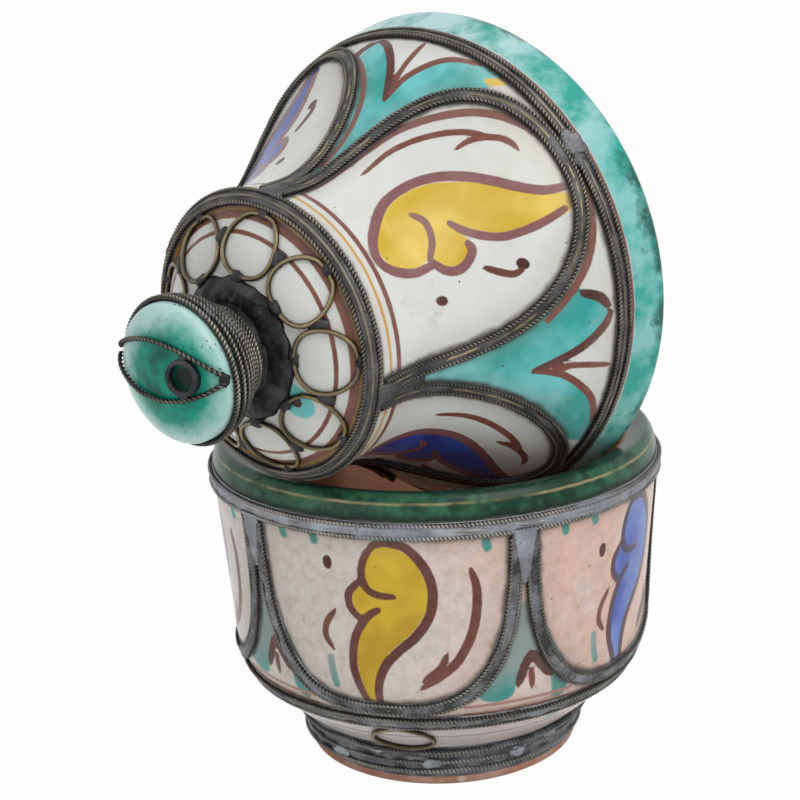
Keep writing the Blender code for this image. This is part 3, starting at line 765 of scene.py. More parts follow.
LID_LEAF_MARKS = [(1.4, LID_LEAF_BACK, *LID_LEAF_TONE), (1.25, LID_LEAF_LOBE, *LID_LEAF_TONE),
                  (0.95, LID_LEAF_NOTCH, *LID_LEAF_TONE), (1.15, LID_LEAF_BELLY, *LID_LEAF_TONE),
                  (0.95, LONG_ARC, 0.55, 0.5), (0.95, SHORT_ARC, 0.5, 0.5), (0.95, LID_COMMA, 0.75, 0.3),
                  (1.4, [(-17.0, 40.2), (-17.8, 39.3)], 1.0, 0.1),
                  (1.35, [(-20.8, 63.2), (-21.2, 62.4)], 1.0, 0.1)]
FLEUR_MARKS = [(1.2, FLEUR_UPPER, 0.85, 0.35), (1.05, FLEUR_LOWER, 0.5, 0.3), (0.9, FLEUR_MIDDLE, 0.5, 0.3),
               (1.3, FLEUR_TICK, 0.95, 0.3)]
YELLOW_CHIP = [(241.5, 20.5), (240.0, 18.6), (238.2, 16.4), (237.4, 17.6), (239.0, 20.6)]
LID_RINGS = [(0.8, 78.4, 0.35), (1.35, 91.4, 0.42), (0.6, 96.2, 0.5), (0.6, 11.4, 0.3)]


def paint_lid(brush):
    """All strokes on the lid."""
    brush.line(1.25, FRONT_BORDER, 0.3, 0.3)
    for number, (middle, scale, shift, paint) in enumerate(LID_PETALS):
        brush.area(paint, moved(LID_LEAF_FILL, middle + shift, scale))
        brush.motif(LID_LEAF_MARKS, middle + shift, scale)
        if number:
            half = LID_FRONT_PETAL / 2 * scale - (0.6 if number == 1 else 6.0)
            brush.line(0.9, [(middle + half * math.cos(t), 74 - 54 * math.sin(t) ** 0.9)
                             for t in np.linspace(0.15, math.pi - 0.15, 15)], 0.3, 0.2)
    for number, stem in enumerate(LID_STEMS):
        brush.area("teal", moved((FLEUR_SLIM if number else FLEUR_WIDE) + FLEUR_REST, stem))
        brush.motif(FLEUR_MARKS, stem)
    brush.area("yellow", YELLOW_CHIP)
    for width, length, tone in LID_RINGS:
        brush.band(width, length, tone)
    brush.dab("teal", 3.6, [(148.0, 106.0), (146.0, 103.6)])
    brush.line(1.7, [(146.8, 105.6), (146.2, 105.0)], 1.3, 0.1)


print("lid petals", [petal[3] for petal in LID_PETALS])

# %% [markdown]
# ## Throwing and painting the two bodies
#
# Each body is its full outline, outside and inside, spun in fine steps. Its vertices then learn
# where they are on the outline and how far they lie from every stroke.


# %% Bodies
def throw(outside, spacings, inside, steps, placing, below=()):
    """The body's mesh, and for each vertex its angle, length, radius and distance to the right."""
    rows = [outside.points[0][None]]
    for first, last, spacing in spacings:
        goals = np.linspace(first, last, max(2, int(round((last - first) / spacing))) + 1)[1:]
        columns = [np.interp(goals, outside.lengths, column) for column in outside.points.T]
        rows.append(np.stack(columns, axis=1))
    shell = np.vstack(rows)
    section = [tuple(p) for p in below] + [tuple(p) for p in shell] + [tuple(p) for p in inside]
    mesh = spin_mesh(section, steps, placing)
    spots = corners(mesh, placing)
    radius = np.hypot(spots[:, 0], spots[:, 1])
    chain = np.array(section)
    walked = np.concatenate(([0.0], np.cumsum(np.hypot(*np.diff(chain, axis=0).T))))
    walked -= walked[len(below)]
    nearest = np.concatenate([
        ((part[:, None] - chain[None]) ** 2).sum(axis=2).argmin(axis=1)
        for part in np.array_split(np.stack((radius, spots[:, 2]), axis=1), 40)])
    angle = np.degrees(np.arctan2(spots[:, 1], spots[:, 0]))
    return mesh, angle, walked[nearest] * 1000, radius * 1000, spots[:, 0] * 1000


def painted_body(body, mesh, angle, length, radius, across, paint):
    """Lays the strokes on a body and stores their distances in its mesh."""
    brush = Brushwork(angle, length, radius)
    paint(brush)
    for _, owner, (turn, along) in PETALS:
        if owner == body:
            brush.beside_metal(np.stack((np.degrees(turn), along * 1000), axis=1)[::4], FRAME_HALF * 1000)
    for owner, middle in BANDS.values():
        if owner == body:
            brush.metal = np.minimum(brush.metal, abs(length - middle * 1000) - BAND_HALF * 1000)
    keep(mesh, "metal", brush.metal, brush.metal, brush.metal)
    keep(mesh, "ink", brush.side, brush.away, brush.width)
    keep(mesh, "fill", brush.fills["yellow"], brush.fills["blue"], brush.fills["teal"])
    keep(mesh, "spot", length, across, brush.tone)


BOWL_SPACING = [(0, 0.0060, 0.0010), (0.0060, 0.0180, 0.0012), (0.0180, 0.0950, 0.00075),
                (0.0950, bowl.lengths[-1], 0.0006)]
LID_SPACING = [(0, 0.0120, 0.0010), (0.0120, 0.0980, 0.00085), (0.0980, 0.1120, 0.0010),
               (0.1120, 0.1350, 0.0020), (0.1350, lid.lengths[-1], 0.0010)]
BOWL_UNDERSIDE = [(0.0, 0.0), (0.02, 0.0)]
bowl_mesh, *bowl_where = throw(bowl, BOWL_SPACING, bowl_inside(bowl), 480, PLACES["bowl"], BOWL_UNDERSIDE)
painted_body("bowl", bowl_mesh, *bowl_where, paint_bowl)
lid_mesh, *lid_where = throw(lid, LID_SPACING, [], 420, PLACES["lid"], lid_inside(lid)[::-1])
painted_body("lid", lid_mesh, *lid_where, paint_lid)
for mesh in (bowl_mesh, lid_mesh):
    print("body", len(mesh.vertices), "corners", sum(len(f.vertices) - 2 for f in mesh.polygons), "triangles")

# %% [markdown]
# ## Glaze
#
# The ground is a white tin glaze over red clay. It is cream on the lid, and blushes to pink on
# the bowl where the clay shows through. Colour was brushed on it and sank in, so edges are soft,
# pools are dark and thin places let the ground through. Fine crazing and pin holes finish it.


# %% Paint layers
INK_THIN = colour(0.42, 0.23, 0.18)
INK_PLUM = colour(0.225, 0.090, 0.092)
INK_BROWN = colour(0.190, 0.058, 0.038)
INK_THICK = colour(0.058, 0.013, 0.011)
# Grime and painted shade beside the wires.
SHADE_AND_DIRT_FILM = colour(0.30, 0.21, 0.16)
SHADE_AND_DIRT = colour(0.075, 0.058, 0.048)
PIN_HOLE = colour(0.07, 0.05, 0.04)
CRACK = colour(0.42, 0.33, 0.27)
POOLING = {"teal": (0.40, 0.62), "yellow": (0.38, 0.62), "blue": (0.42, 0.66)}


def over(distance, soft):
    """How much paint covers a place, from its distance to the paint's edge in millimetres."""
    return ((soft - distance) / (2 * soft)).clamp()


def brushed(coords, ground, paints):
    """The painted colours over a ground, and how much brown lies on top."""
    side, away, width = attribute(coords, "ink")
    fills = dict(zip(("yellow", "blue", "teal"), attribute(coords, "fill")))
    tone = attribute(coords, "spot")[2]
    wobble = (grain(coords, 500, 2.0) - 0.5) * 0.7
    pool = grain(coords, 70, 2.0, 0.45)
    streak = grain(coords, 330, 3.0)
    depth = pool + (streak - 0.5) * 0.15
    layer = ground
    for name, (low, high) in POOLING.items():
        paint = blend(*paints[name], step(depth, low, high))
        layer = blend(layer, paint, over(fills[name] - 0.35 + wobble * 0.8, 0.35) * 0.97)
    dark = tone + (pool - 0.5) * 0.4
    brown = blend(INK_THIN, INK_PLUM, step(dark, -0.7, -0.1))
    brown = blend(brown, INK_BROWN, step(dark, 0.18, 0.42))
    brown = blend(brown, INK_THICK, step(dark, 0.52, 1.05))
    gap = abs(side).most(away - (0.95 - width).most(0.05).least(0.45)) - width
    cover = over(gap + wobble * 0.4, 0.18) * (0.90 + streak * 0.16).least(1.0)
    return blend(layer, brown, cover), cover


def shade_and_dirt_along_wires(coords, layer, share):
    """Dark grime and painted shade on the glaze along the wires: a wide faint film and a dark edge next to
    the metal.
    """
    metal = attribute(coords, "metal")[0]
    wide = fall(metal - (grain(coords, 60, 3.0) - 0.5) * 9.0, -0.5, 7.0)
    near_shade_and_dirt = fall(metal - (grain(coords, 210, 3.0) - 0.5) * 2.2, -0.1, 1.3)
    return blend(blend(layer, SHADE_AND_DIRT_FILM, wide * share * 0.28), SHADE_AND_DIRT, near_shade_and_dirt * share)


def specked(coords, layer, amount):
    """Pin holes and grains of iron in the glaze."""
    cells = coords.node("ShaderNodeTexVoronoi", None, {"Vector": coords, "Scale": 330.0, "Randomness": 1.0})
    pick = grain(coords, 120, 1.0)
    hole = fall(cells, 0.07, 0.13) * step(pick, 0.60, 0.66) * amount
    return blend(layer, PIN_HOLE, hole), hole


def crazed(coords, layer, share):
    """The fine net of cracks that an old glaze has."""
    stray = coords.node("ShaderNodeTexNoise", None, {"Vector": coords, "Scale": 90.0}, 1)
    bent = coords.node("ShaderNodeVectorMath", {"operation": "ADD"}, {0: coords, 1: stray}, 0)
    net = bent.node("ShaderNodeTexVoronoi", {"feature": "DISTANCE_TO_EDGE"}, {"Vector": bent, "Scale": 160.0})
    line = fall(net, 0.004, 0.018) * share
    return blend(layer, CRACK, line), line


# %% Bowl glaze
BOWL_PAINTS = {
    "yellow": (colour(0.70, 0.47, 0.012), colour(0.53, 0.32, 0.003)),
    "blue": (colour(0.030, 0.080, 0.42), colour(0.12, 0.22, 0.60)),
}
BOWL_CREAM = colour(0.70, 0.65, 0.605)
BOWL_BLUSH = colour(0.74, 0.50, 0.42)
BOWL_PALE = colour(0.74, 0.71, 0.67)
BOWL_FRECKLE = colour(0.44, 0.33, 0.27)
BOWL_TEAL = (colour(0.25, 0.345, 0.335), colour(0.030, 0.285, 0.25))
NAVY = colour(0.022, 0.036, 0.13)
LIP_GREEN = (colour(0.005, 0.034, 0.017), colour(0.030, 0.120, 0.062))
LIP_DARK = colour(0.008, 0.020, 0.015)
# A golden line on the lip: a painted highlight, and worn glaze.
LIP_HIGHLIGHT = colour(0.42, 0.34, 0.16)
LIP_INNER = colour(0.012, 0.045, 0.028)
BOWL_CLAY = (colour(0.42, 0.20, 0.12), colour(0.55, 0.30, 0.20))
FOOT_STRIP = colour(0.52, 0.49, 0.48)
FOOT_CLAY = (colour(0.44, 0.215, 0.145), colour(0.54, 0.34, 0.26))
FOOT_SPLASH = colour(0.62, 0.57, 0.51)
FOOT_END = (8.6, 10.2)
STRIP_END = (30.0, 31.0)
TEAL_MIDDLE = 61.0
LIP_START = (94.6, 95.4)
LIP_DARK_END = (95.6, 97.0)
LIP_HIGHLIGHT_AT = 99.6
LIP_INNER_START = (101.5, 104.0)
BARE_START = (107.5, 109.5)


def bowl_glaze():
    """The bowl's finish. Where a layer starts or ends is in millimetres along the outline."""
    made, shader, coords = finish("bowl_glaze")
    along, across = attribute(coords, "spot")[:2]
    cloud = grain(coords, 38, 4.0, 0.6)
    mottle = grain(coords, 260, 3.0)
    blush = step(across * 0.009 + along * 0.004 + cloud + (mottle - 0.5) * 0.25, 0.62, 1.16)
    ground = blend(BOWL_CREAM, BOWL_BLUSH, blush)
    ground = blend(ground, BOWL_PALE, step(grain(coords, 75, 2.0), 0.56, 0.74) * 0.5)
    ground = blend(ground, BOWL_FRECKLE, step(grain(coords, 340, 5.0, 0.72), 0.42, 0.74) * 0.62)
    rich = step(abs(along - TEAL_MIDDLE) + (mottle - 0.5) * 7.0, 9.0, 17.0)
    teal = blend(*BOWL_TEAL, rich)
    layer, ink = brushed(coords, ground, BOWL_PAINTS | {"teal": (teal, teal)})
    blue = attribute(coords, "fill")[1]
    layer = blend(layer, NAVY, ink * over(blue - 1.3, 0.8) * 0.75)
    layer, crack = crazed(coords, layer, 0.45)
    layer, hole = specked(coords, layer, 0.8)
    # Grime and painted shade along the wires.
    layer = shade_and_dirt_along_wires(coords, layer, 0.75)
    ripple = (mottle - 0.5) * 1.2
    green = blend(*LIP_GREEN, step(cloud + (mottle - 0.5) * 0.8, 0.38, 0.64))
    lip = step(along + ripple, *LIP_START)
    layer = blend(layer, green, lip)
    layer = blend(layer, LIP_DARK, lip * fall(along + ripple, *LIP_DARK_END) * 0.9)
    # Painted highlight and worn glaze: a thin golden line along the lip's rounded crest.
    lip_highlight = over(abs(along - LIP_HIGHLIGHT_AT + ripple * 0.35) - 0.28, 0.28)
    layer = blend(layer, LIP_HIGHLIGHT, lip_highlight * step(grain(coords, 110, 3.0), 0.32, 0.56) * 0.8)
    layer = blend(layer, LIP_INNER, step(along, *LIP_INNER_START) * 0.8)
    bare = step(along + ripple * 1.4, *BARE_START)
    clay = blend(*BOWL_CLAY, step(cloud, 0.38, 0.66))
    foot = fall(along - ripple * 0.8, *FOOT_END)
    strip = fall(along - ripple * 0.4, *STRIP_END) * (1 - foot)
    layer = blend(layer, FOOT_STRIP, strip * 0.5)
    foot_clay = blend(*FOOT_CLAY, step(grain(coords, 140, 4.0), 0.40, 0.62))
    foot_clay = blend(foot_clay, FOOT_SPLASH, step(grain(coords, 95, 2.0), 0.68, 0.72) * 0.8)
    layer = blend(layer, foot_clay, foot)
    layer = blend(layer, clay, bare)
    dry = foot.most(bare * 0.8)
    feed(shader, "Base Color", layer)
    feed(shader, "Roughness", (0.17 + mottle * 0.10 + dry * 0.50).clamp())
    shader.inputs["Specular IOR Level"].default_value = 0.2
    relief = ink * 0.5 + mottle * 0.5 - hole * 2.0 - crack * 0.6 + dry * grain(coords, 900, 4.0) * 1.2
    feed(shader, "Normal", bump(coords, relief, 0.25, 0.0004))
    return made


# %% Lid glaze
LID_PAINTS = {
    "teal": (colour(0.15, 0.58, 0.59), colour(0.012, 0.35, 0.325)),
    "yellow": (colour(0.78, 0.56, 0.08), colour(0.62, 0.40, 0.010)),
    "blue": (colour(0.002, 0.020, 0.24), colour(0.018, 0.075, 0.46)),
}
LID_CREAM = (colour(0.715, 0.735, 0.70), colour(0.655, 0.65, 0.595))
RING_ORANGE = colour(0.62, 0.33, 0.03)
STAIN = colour(0.45, 0.30, 0.17)
# Pale aqua, and a darker aqua that stands for painted shade on the lid's right side; noise mixes them too.
RIM_PALE_AND_SHADED = (colour(0.47, 0.70, 0.69), colour(0.24, 0.56, 0.54))
RIM_POOL = colour(0.012, 0.35, 0.28)
RIM_DARK = colour(0.008, 0.095, 0.065)
KNOB_PAINT = (colour(0.003, 0.315, 0.215), colour(0.47, 0.70, 0.66))
KNOB_DEEP = colour(0.001, 0.085, 0.050)
KNOB_FRECKLE = colour(0.006, 0.040, 0.028)
PUPIL = colour(0.004, 0.018, 0.014)
LID_CLAY = (colour(0.50, 0.27, 0.18), colour(0.62, 0.38, 0.28))
RIM_END = (10.3, 10.9)
OUTER_RING_AT = 81.4
INNER_RING_AT = 89.8
KNOB_PAINT_START = (128.0, 130.0)
EYE_SIDE = math.radians(193.7)
PUPIL_FROM_CROWN = 0.0098
POOL_FROM_CROWN = 0.0035


def knob_spot(from_crown):
    """A place on the knob's crown, on the side of the eye."""
    return tuple(PLACES["lid"] @ Vector(lid.place(EYE_SIDE, lid.lengths[-1] - from_crown)))


def apart(coords, spot):
    """Distance to a place in millimetres."""
    return coords.node("ShaderNodeVectorMath", {"operation": "DISTANCE"}, {0: coords, 1: spot}, 1) * 1000.0


def lid_glaze():
    """The lid's finish. Where a layer starts or ends is in millimetres along the outline."""
    made, shader, coords = finish("lid_glaze")
    along = attribute(coords, "spot")[0]
    cloud = grain(coords, 38, 4.0, 0.6)
    mottle = grain(coords, 260, 3.0)
    ground = blend(*LID_CREAM, step(cloud + (mottle - 0.5) * 0.3, 0.40, 0.75))
    layer, ink = brushed(coords, ground, LID_PAINTS)
    outer_ring = over(abs(along - OUTER_RING_AT + (mottle - 0.5) * 0.5) - 0.45, 0.25)
    inner_ring = over(abs(along - INNER_RING_AT) - 0.5, 0.25)
    layer = blend(layer, RING_ORANGE, outer_ring.most(inner_ring) * 0.95)
    layer, crack = crazed(coords, layer, 0.18)
    layer, hole = specked(coords, layer, 1.0)
    stain = step(grain(coords, 60, 3.0), 0.66, 0.74) * step(grain(coords, 300, 3.0), 0.45, 0.60)
    layer = blend(layer, STAIN, stain * 0.3)
    # Grime and painted shade along the wires.
    layer = shade_and_dirt_along_wires(coords, layer, 0.85)
    ripple = (mottle - 0.5) * 1.6 + (cloud - 0.5) * 1.5
    rim = fall(along - ripple * 0.5, *RIM_END)
    # Painted shade: towards the lid's right side (larger x) the rim's aqua darkens, its pools deepen and its
    # dark green edge widens.
    across = coords.node("ShaderNodeSeparateXYZ", None, {0: coords}, 0) * 1000.0
    pale = blend(*RIM_PALE_AND_SHADED, step(across * 0.006 + cloud, 0.46, 0.80))
    aqua = blend(pale, RIM_POOL, step(grain(coords, 62, 5.0, 0.62) + across * 0.0016, 0.49, 0.65) * 0.92)
    frayed = (grain(coords, 80, 5.0, 0.66) - 0.5) * 28.0
    edge = fall(along - (across - 45.0) * 0.08 - frayed, -1.2, 3.2)
    layer = blend(layer, blend(aqua, RIM_DARK, edge * 0.92), rim)
    spot = apart(coords, knob_spot(PUPIL_FROM_CROWN))
    pooled = apart(coords, knob_spot(POOL_FROM_CROWN))
    fade = step(pooled + (mottle - 0.5) * 5.0 + (cloud - 0.5) * 7.0, 11.5, 17.0)
    knob_paint = blend(*KNOB_PAINT, fade)
    deep = step(grain(coords, 150, 4.0, 0.6), 0.36, 0.60) * fall(pooled, 7.0, 13.0)
    knob_paint = blend(knob_paint, KNOB_DEEP, deep * 0.85)
    knob_paint = blend(knob_paint, PUPIL, fall(spot, 2.2, 3.4))
    freckle = step(grain(coords, 1100, 2.0), 0.63, 0.70) * step(grain(coords, 160, 2.0), 0.42, 0.56)
    knob_paint = blend(knob_paint, KNOB_FRECKLE, freckle * 0.85)
    layer = blend(layer, knob_paint, step(along, *KNOB_PAINT_START) * (1 - hole))
    bare = fall(along, -4.0, -2.0)
    clay = blend(*LID_CLAY, step(cloud, 0.38, 0.66))
    layer = blend(layer, clay, bare)
    feed(shader, "Base Color", layer)
    feed(shader, "Roughness", (0.14 + mottle * 0.10 + bare * 0.5).clamp())
    shader.inputs["Specular IOR Level"].default_value = 0.2
    relief = ink * 0.5 + mottle * 0.5 - hole * 2.0 - crack * 0.6
    feed(shader, "Normal", bump(coords, relief, 0.22, 0.0004))
    return made


add_piece("bowl_clay", bowl_mesh, bowl_glaze(), "bowl", ["bowl_body"])
add_piece("lid_clay", lid_mesh, lid_glaze(), "lid", ["lid_body"])

# %% [markdown]
# ## Metal finishes
#
# The wire is a cheap white alloy gone dark with age. The tops of the twists are pale brass, from wear and a
# painted highlight; the hollows are almost black, and grey solder was wiped over long stretches. Each wire
# mesh stores how far out a vertex stands, and the pale brass follows that number.


# %% Wire and solder
HOLLOW = colour(0.022, 0.021, 0.020)
PIT = colour(0.03, 0.027, 0.025)


def wire_finish(name, dark, rubbed_and_highlit, smear, smear_level, rough):
    """Dark wire with pale brass tops from wear and a painted highlight, and solder smeared where the noise is
    above a level.
    """
    made, shader, coords = finish(name)
    out = attribute(coords, "outwardness")[0]
    patch = grain(coords, 85, 3.0)
    fine = grain(coords, 1500, 3.0)
    # Wear and painted highlight: the parts of a twist that stand out turn pale brass.
    wear_and_highlight = step(out + (patch - 0.5) * 1.1 + (fine - 0.5) * 0.5, 0.50, 1.15)
    layer = blend(dark, rubbed_and_highlit, wear_and_highlight)
    layer = blend(HOLLOW, layer, step(out, -0.9, -0.1))
    wiped = step(grain(coords, 48, 4.0, 0.6) + (fine - 0.5) * 0.12, smear_level, smear_level + 0.08)
    layer = blend(layer, smear, wiped * 0.8)
    feed(shader, "Base Color", layer)
    feed(shader, "Metallic", 0.92 - wiped * 0.25)
    feed(shader, "Roughness", (rough + fine * 0.22 + wiped * 0.10 - wear_and_highlight * 0.08).clamp())
    feed(shader, "Normal", bump(coords, fine, 0.25, 0.0002))
    return made


def solder_finish(name, low, high):
    """Grey solder in two tones, with dark pits."""
    made, shader, coords = finish(name)
    patch = grain(coords, 130, 4.0, 0.6)
    fine = grain(coords, 1100, 4.0, 0.6)
    layer = blend(low, high, step(patch + (fine - 0.5) * 0.4, 0.38, 0.66))
    layer = blend(layer, PIT, step(grain(coords, 520, 3.0), 0.62, 0.74) * 0.7)
    feed(shader, "Base Color", layer)
    feed(shader, "Metallic", 0.72)
    feed(shader, "Roughness", (0.36 + fine * 0.30).clamp())
    feed(shader, "Normal", bump(coords, fine + patch, 0.5, 0.0003))
    return made


# Each wire: dark tone, pale brass tops from wear and painted highlight, smear tone, smear level, roughness.
WIRES = {
    "bowl_cord": ((0.095, 0.094, 0.092), (0.34, 0.32, 0.28), (0.25, 0.262, 0.29), 0.52, 0.40),
    "frame_cord": ((0.052, 0.050, 0.048), (0.27, 0.25, 0.21), (0.17, 0.175, 0.19), 0.60, 0.40),
    "knob_cord": ((0.060, 0.058, 0.055), (0.36, 0.33, 0.27), (0.19, 0.19, 0.195), 0.58, 0.38),
    "foot_cord": ((0.062, 0.062, 0.063), (0.27, 0.255, 0.22), (0.21, 0.215, 0.23), 0.54, 0.40),
    "lid_cord": ((0.044, 0.042, 0.040), (0.22, 0.195, 0.155), (0.085, 0.085, 0.09), 0.58, 0.40),
    "old_brass": ((0.060, 0.050, 0.030), (0.27, 0.215, 0.12), (0.07, 0.07, 0.07), 0.62, 0.34),
}
SOLDERS = {
    "bowl_solder": ((0.20, 0.21, 0.235), (0.35, 0.37, 0.41)),
    "lid_solder": ((0.040, 0.040, 0.040), (0.115, 0.115, 0.12)),
    "frame_solder": ((0.046, 0.046, 0.047), (0.235, 0.24, 0.255)),
    "foot_solder": ((0.045, 0.045, 0.047), (0.19, 0.195, 0.21)),
    "old_solder": ((0.012, 0.012, 0.013), (0.062, 0.062, 0.068)),
}
FINISHES = {}
for name, (*tones, smear_level, rough) in WIRES.items():
    FINISHES[name] = wire_finish(name, *[colour(*tone) for tone in tones], smear_level, rough)
for name, tones in SOLDERS.items():
    FINISHES[name] = solder_finish(name, *[colour(*tone) for tone in tones])
print("finishes", list(FINISHES))

# %% [markdown]
# ## Twisted cords and plain wires
#
# A cord is two strands laid round each other. Its path lies on the clay, with the direction away
# from the clay at every step, so the strands can be wound about it without any drift. The
# strands are round curves, turned into one mesh per cord.


# %% Wires
LAY = 0.0022
CLOSE = 0.00004
LAID = {}


def wire_mesh(strands, radius, closed, path, facing, resolution, whole):
    """Round strands as one mesh. Each vertex knows how far out it stands above the cord's middle."""
    line = bpy.data.curves.new("strands", "CURVE")
    line.dimensions = "3D"
    line.bevel_depth = radius
    line.bevel_resolution = resolution
    line.use_fill_caps = True
    for points in strands:
        spline = line.splines.new("POLY")
        spline.points.add(len(points) - 1)
        spline.points.foreach_set("co", np.column_stack((points, np.ones(len(points)))).ravel())
        spline.use_cyclic_u = closed
        spline.use_smooth = True
    holder = bpy.data.objects.new("strands", line)
    mesh = bpy.data.meshes.new_from_object(holder)
    bpy.data.objects.remove(holder)
    spots = corners(mesh, Matrix.Identity(4))
    ring = len(spots) // (len(path) * len(strands))
    middle = np.tile(np.repeat(path, ring, axis=0), (len(strands), 1))
    up = np.tile(np.repeat(facing, ring, axis=0), (len(strands), 1))
    count = min(len(middle), len(spots))
    out = np.zeros(len(spots))
    out[:count] = ((spots[:count] - middle[:count]) * up[:count]).sum(axis=1) / whole
    keep(mesh, "outwardness", out, out, out)
    mesh.shade_smooth()
    return mesh


def in_place(body, points, directions=False):
    """Places or directions of a form, turned into the object's frame."""
    matrix = np.array(PLACES[body])
    turned = points @ matrix[:3, :3].T
    return turned if directions else turned + matrix[:3, 3]


def even(angle, length, body, spacing, lift):
    """The path re-spaced evenly: places and outward directions in the object's frame."""
    form = FORMS[body]
    rough = form.place(angle, length, lift)
    walked = np.concatenate(([0.0], np.cumsum(np.linalg.norm(np.diff(rough, axis=0), axis=1))))
    count = max(4, int(round(walked[-1] / spacing)))
    goals = np.linspace(0, walked[-1], count + 1)
    angle = np.interp(goals, walked, angle)
    length = np.interp(goals, walked, length)
    path = in_place(body, form.place(angle, length, lift))
    return path, in_place(body, form.facing(angle, length), True), walked[-1]


def cord(name, body, angle, length, diameter, closed, material, slot="cord", lay=LAY):
    """A two-strand twisted cord along a line of angles and lengths."""
    path, facing, size = even(angle, length, body, lay / 10, CLOSE + diameter / 2)
    LAID[name] = round(size * 1000)
    turns = round(size / lay)
    turn = math.tau * turns * np.linspace(0, 1, len(path))
    if closed:
        path, facing, turn = path[:-1], facing[:-1], turn[:-1]
    ahead = np.roll(path, -1, axis=0) - np.roll(path, 1, axis=0)
    if not closed:
        ahead[0], ahead[-1] = path[1] - path[0], path[-1] - path[-2]
    ahead /= np.linalg.norm(ahead, axis=1)[:, None]
    beside = np.cross(ahead, facing)
    strands = []
    for start in (0.0, math.pi):
        swing = np.cos(turn + start)[:, None] * facing + np.sin(turn + start)[:, None] * beside
        strands.append(path + swing * diameter * 0.25)
    mesh = wire_mesh(strands, diameter * 0.27, closed, path, facing, 1, diameter / 2)
    return add_piece(name, mesh, FINISHES[material], body, [name])


def plain(name, body, angle, length, diameter, closed, material, spacing=0.0008):
    """A plain round wire, a little uneven as drawn wire is."""
    path, facing, size = even(angle, length, body, spacing, CLOSE + diameter / 2)
    LAID[name] = round(size * 1000)
    if closed:
        path, facing = path[:-1], facing[:-1]
    wave = np.array([noise.noise(Vector(p) * 160) for p in path])[:, None]
    uneven = path + facing * wave * diameter * 0.06
    mesh = wire_mesh([uneven], diameter / 2, closed, path, facing, 3, diameter / 2)
    return add_piece(name, mesh, FINISHES[material], body, [name])


# %% [markdown]
# ## Bands and petal frames
#
# Each band and each frame is laid as cord, ridge wire, cord. The cords of a frame run beside its
# ridge at an even distance.

# %% Bands and petal frames
def beside(body, angle, length, offset):
    """The outline moved sideways on the surface, away from the petal's middle."""
    outward = math.copysign(1.0, length[len(length) // 2] - length[0])
    radius = FORMS[body].at(length)[0]
    run = np.gradient(angle) * radius
    rise = np.gradient(length)
    run[0] = run[-1] = 0.0
    shift = offset * outward / np.hypot(run, rise)
    return angle - shift * rise / radius, length + shift * run


for label, (body, middle) in BANDS.items():
    around = np.linspace(0.0, math.tau, 721)
    same = np.ones_like(around)
    metal = "frame_cord" if label == "waist" else body + "_cord"
    cord(label + "_lower_cord", body, around, same * (middle - BAND_STEP), CORD, True, metal)
    plain(label + "_ridge_wire", body, around, same * middle, RIDGE, True, metal)
    cord(label + "_upper_cord", body, around, same * (middle + BAND_STEP), CORD, True, metal)
for label, body, (angle, length) in PETALS:
    metal, ridge = ("lid_cord", "old_brass") if body == "lid" else ("frame_cord", "frame_cord")
    cord(label + "_inner_cord", body, *beside(body, angle, length, -FRAME_STEP), FRAME_CORD, False, metal)
    plain(label + "_ridge_wire", body, angle, length, FRAME_RIDGE, False, ridge)
    cord(label + "_outer_cord", body, *beside(body, angle, length, FRAME_STEP), FRAME_CORD, False, metal)
print("petal frames", len(PETALS))

# %% [markdown]
# ## Windings
#
# One cord is wound four times round the bowl's foot, and another eight times up the neck of the
# knob to its edge. The path climbs evenly along the outline while it goes round.

# %% Windings
FOOT_CORD = 0.0018
FOOT_FIRST_TURN = 0.0034
FOOT_LAST_TURN = FOOT_HEIGHT + 0.0026
KNOB_CORD = 0.0016
SOLDER_RISE = 0.0022
foot_start = bowl.height(FOOT_FIRST_TURN)
foot_end = bowl.height(FOOT_LAST_TURN)
knob_foot = lid.height(SHOULDER_HEIGHT + DOME_RISE - 1e-6)
knob_start = lid.height(SHOULDER_HEIGHT + DOME_RISE + SOLDER_RISE + GAP * 2 + KNOB_CORD / 2)
knob_edge = lid.height(NECK_HEIGHT + KNOB_HEIGHT + KNOB_EDGE / 2)
for label, body, start, end, turns, diameter, material in (
        ("foot_winding", "bowl", foot_start, foot_end, 4, FOOT_CORD, "foot_cord"),
        ("knob_winding", "lid", knob_start, knob_edge, 8, KNOB_CORD, "knob_cord")):
    angle = np.linspace(0.0, math.tau * turns, 200 * turns)
    cord(label, body, angle, np.linspace(start, end, len(angle)), diameter, False, material)
print("windings", [round(end * 1000, 1) for end in (foot_start, foot_end, knob_start, knob_edge)])

# %% [markdown]
# ## Rings and the eye of the knob
#
# Nine plain brass rings lie on the lid's top between the shoulder and the knob, and one oval ring
# lies at the bowl's foot. On the knob, two twisted arcs make an almond with a ring in it.


# %% Rings
RING_WIRE = 0.0013
RING_SPACING = 0.0006
RING_COUNT = 9
FIRST_RING = 218.5
FOOT_RING_WIDTH = 0.0180
FOOT_RING_ANGLE = -103.0
SOLDER_WIDTH = 0.0058


def ring(name, body, angle, length, across, along):
    """A plain brass ring, so wide and so high, lying on a form."""
    turn = np.linspace(0.0, math.tau, 97)
    spot = length + (along - RING_WIRE) / 2 * np.sin(turn)
    radius = FORMS[body].at(spot)[0]
    around = angle + (across - RING_WIRE) / 2 * np.cos(turn) / radius
    return plain(name, body, around, spot, RING_WIRE, True, "old_brass", 0.0005)


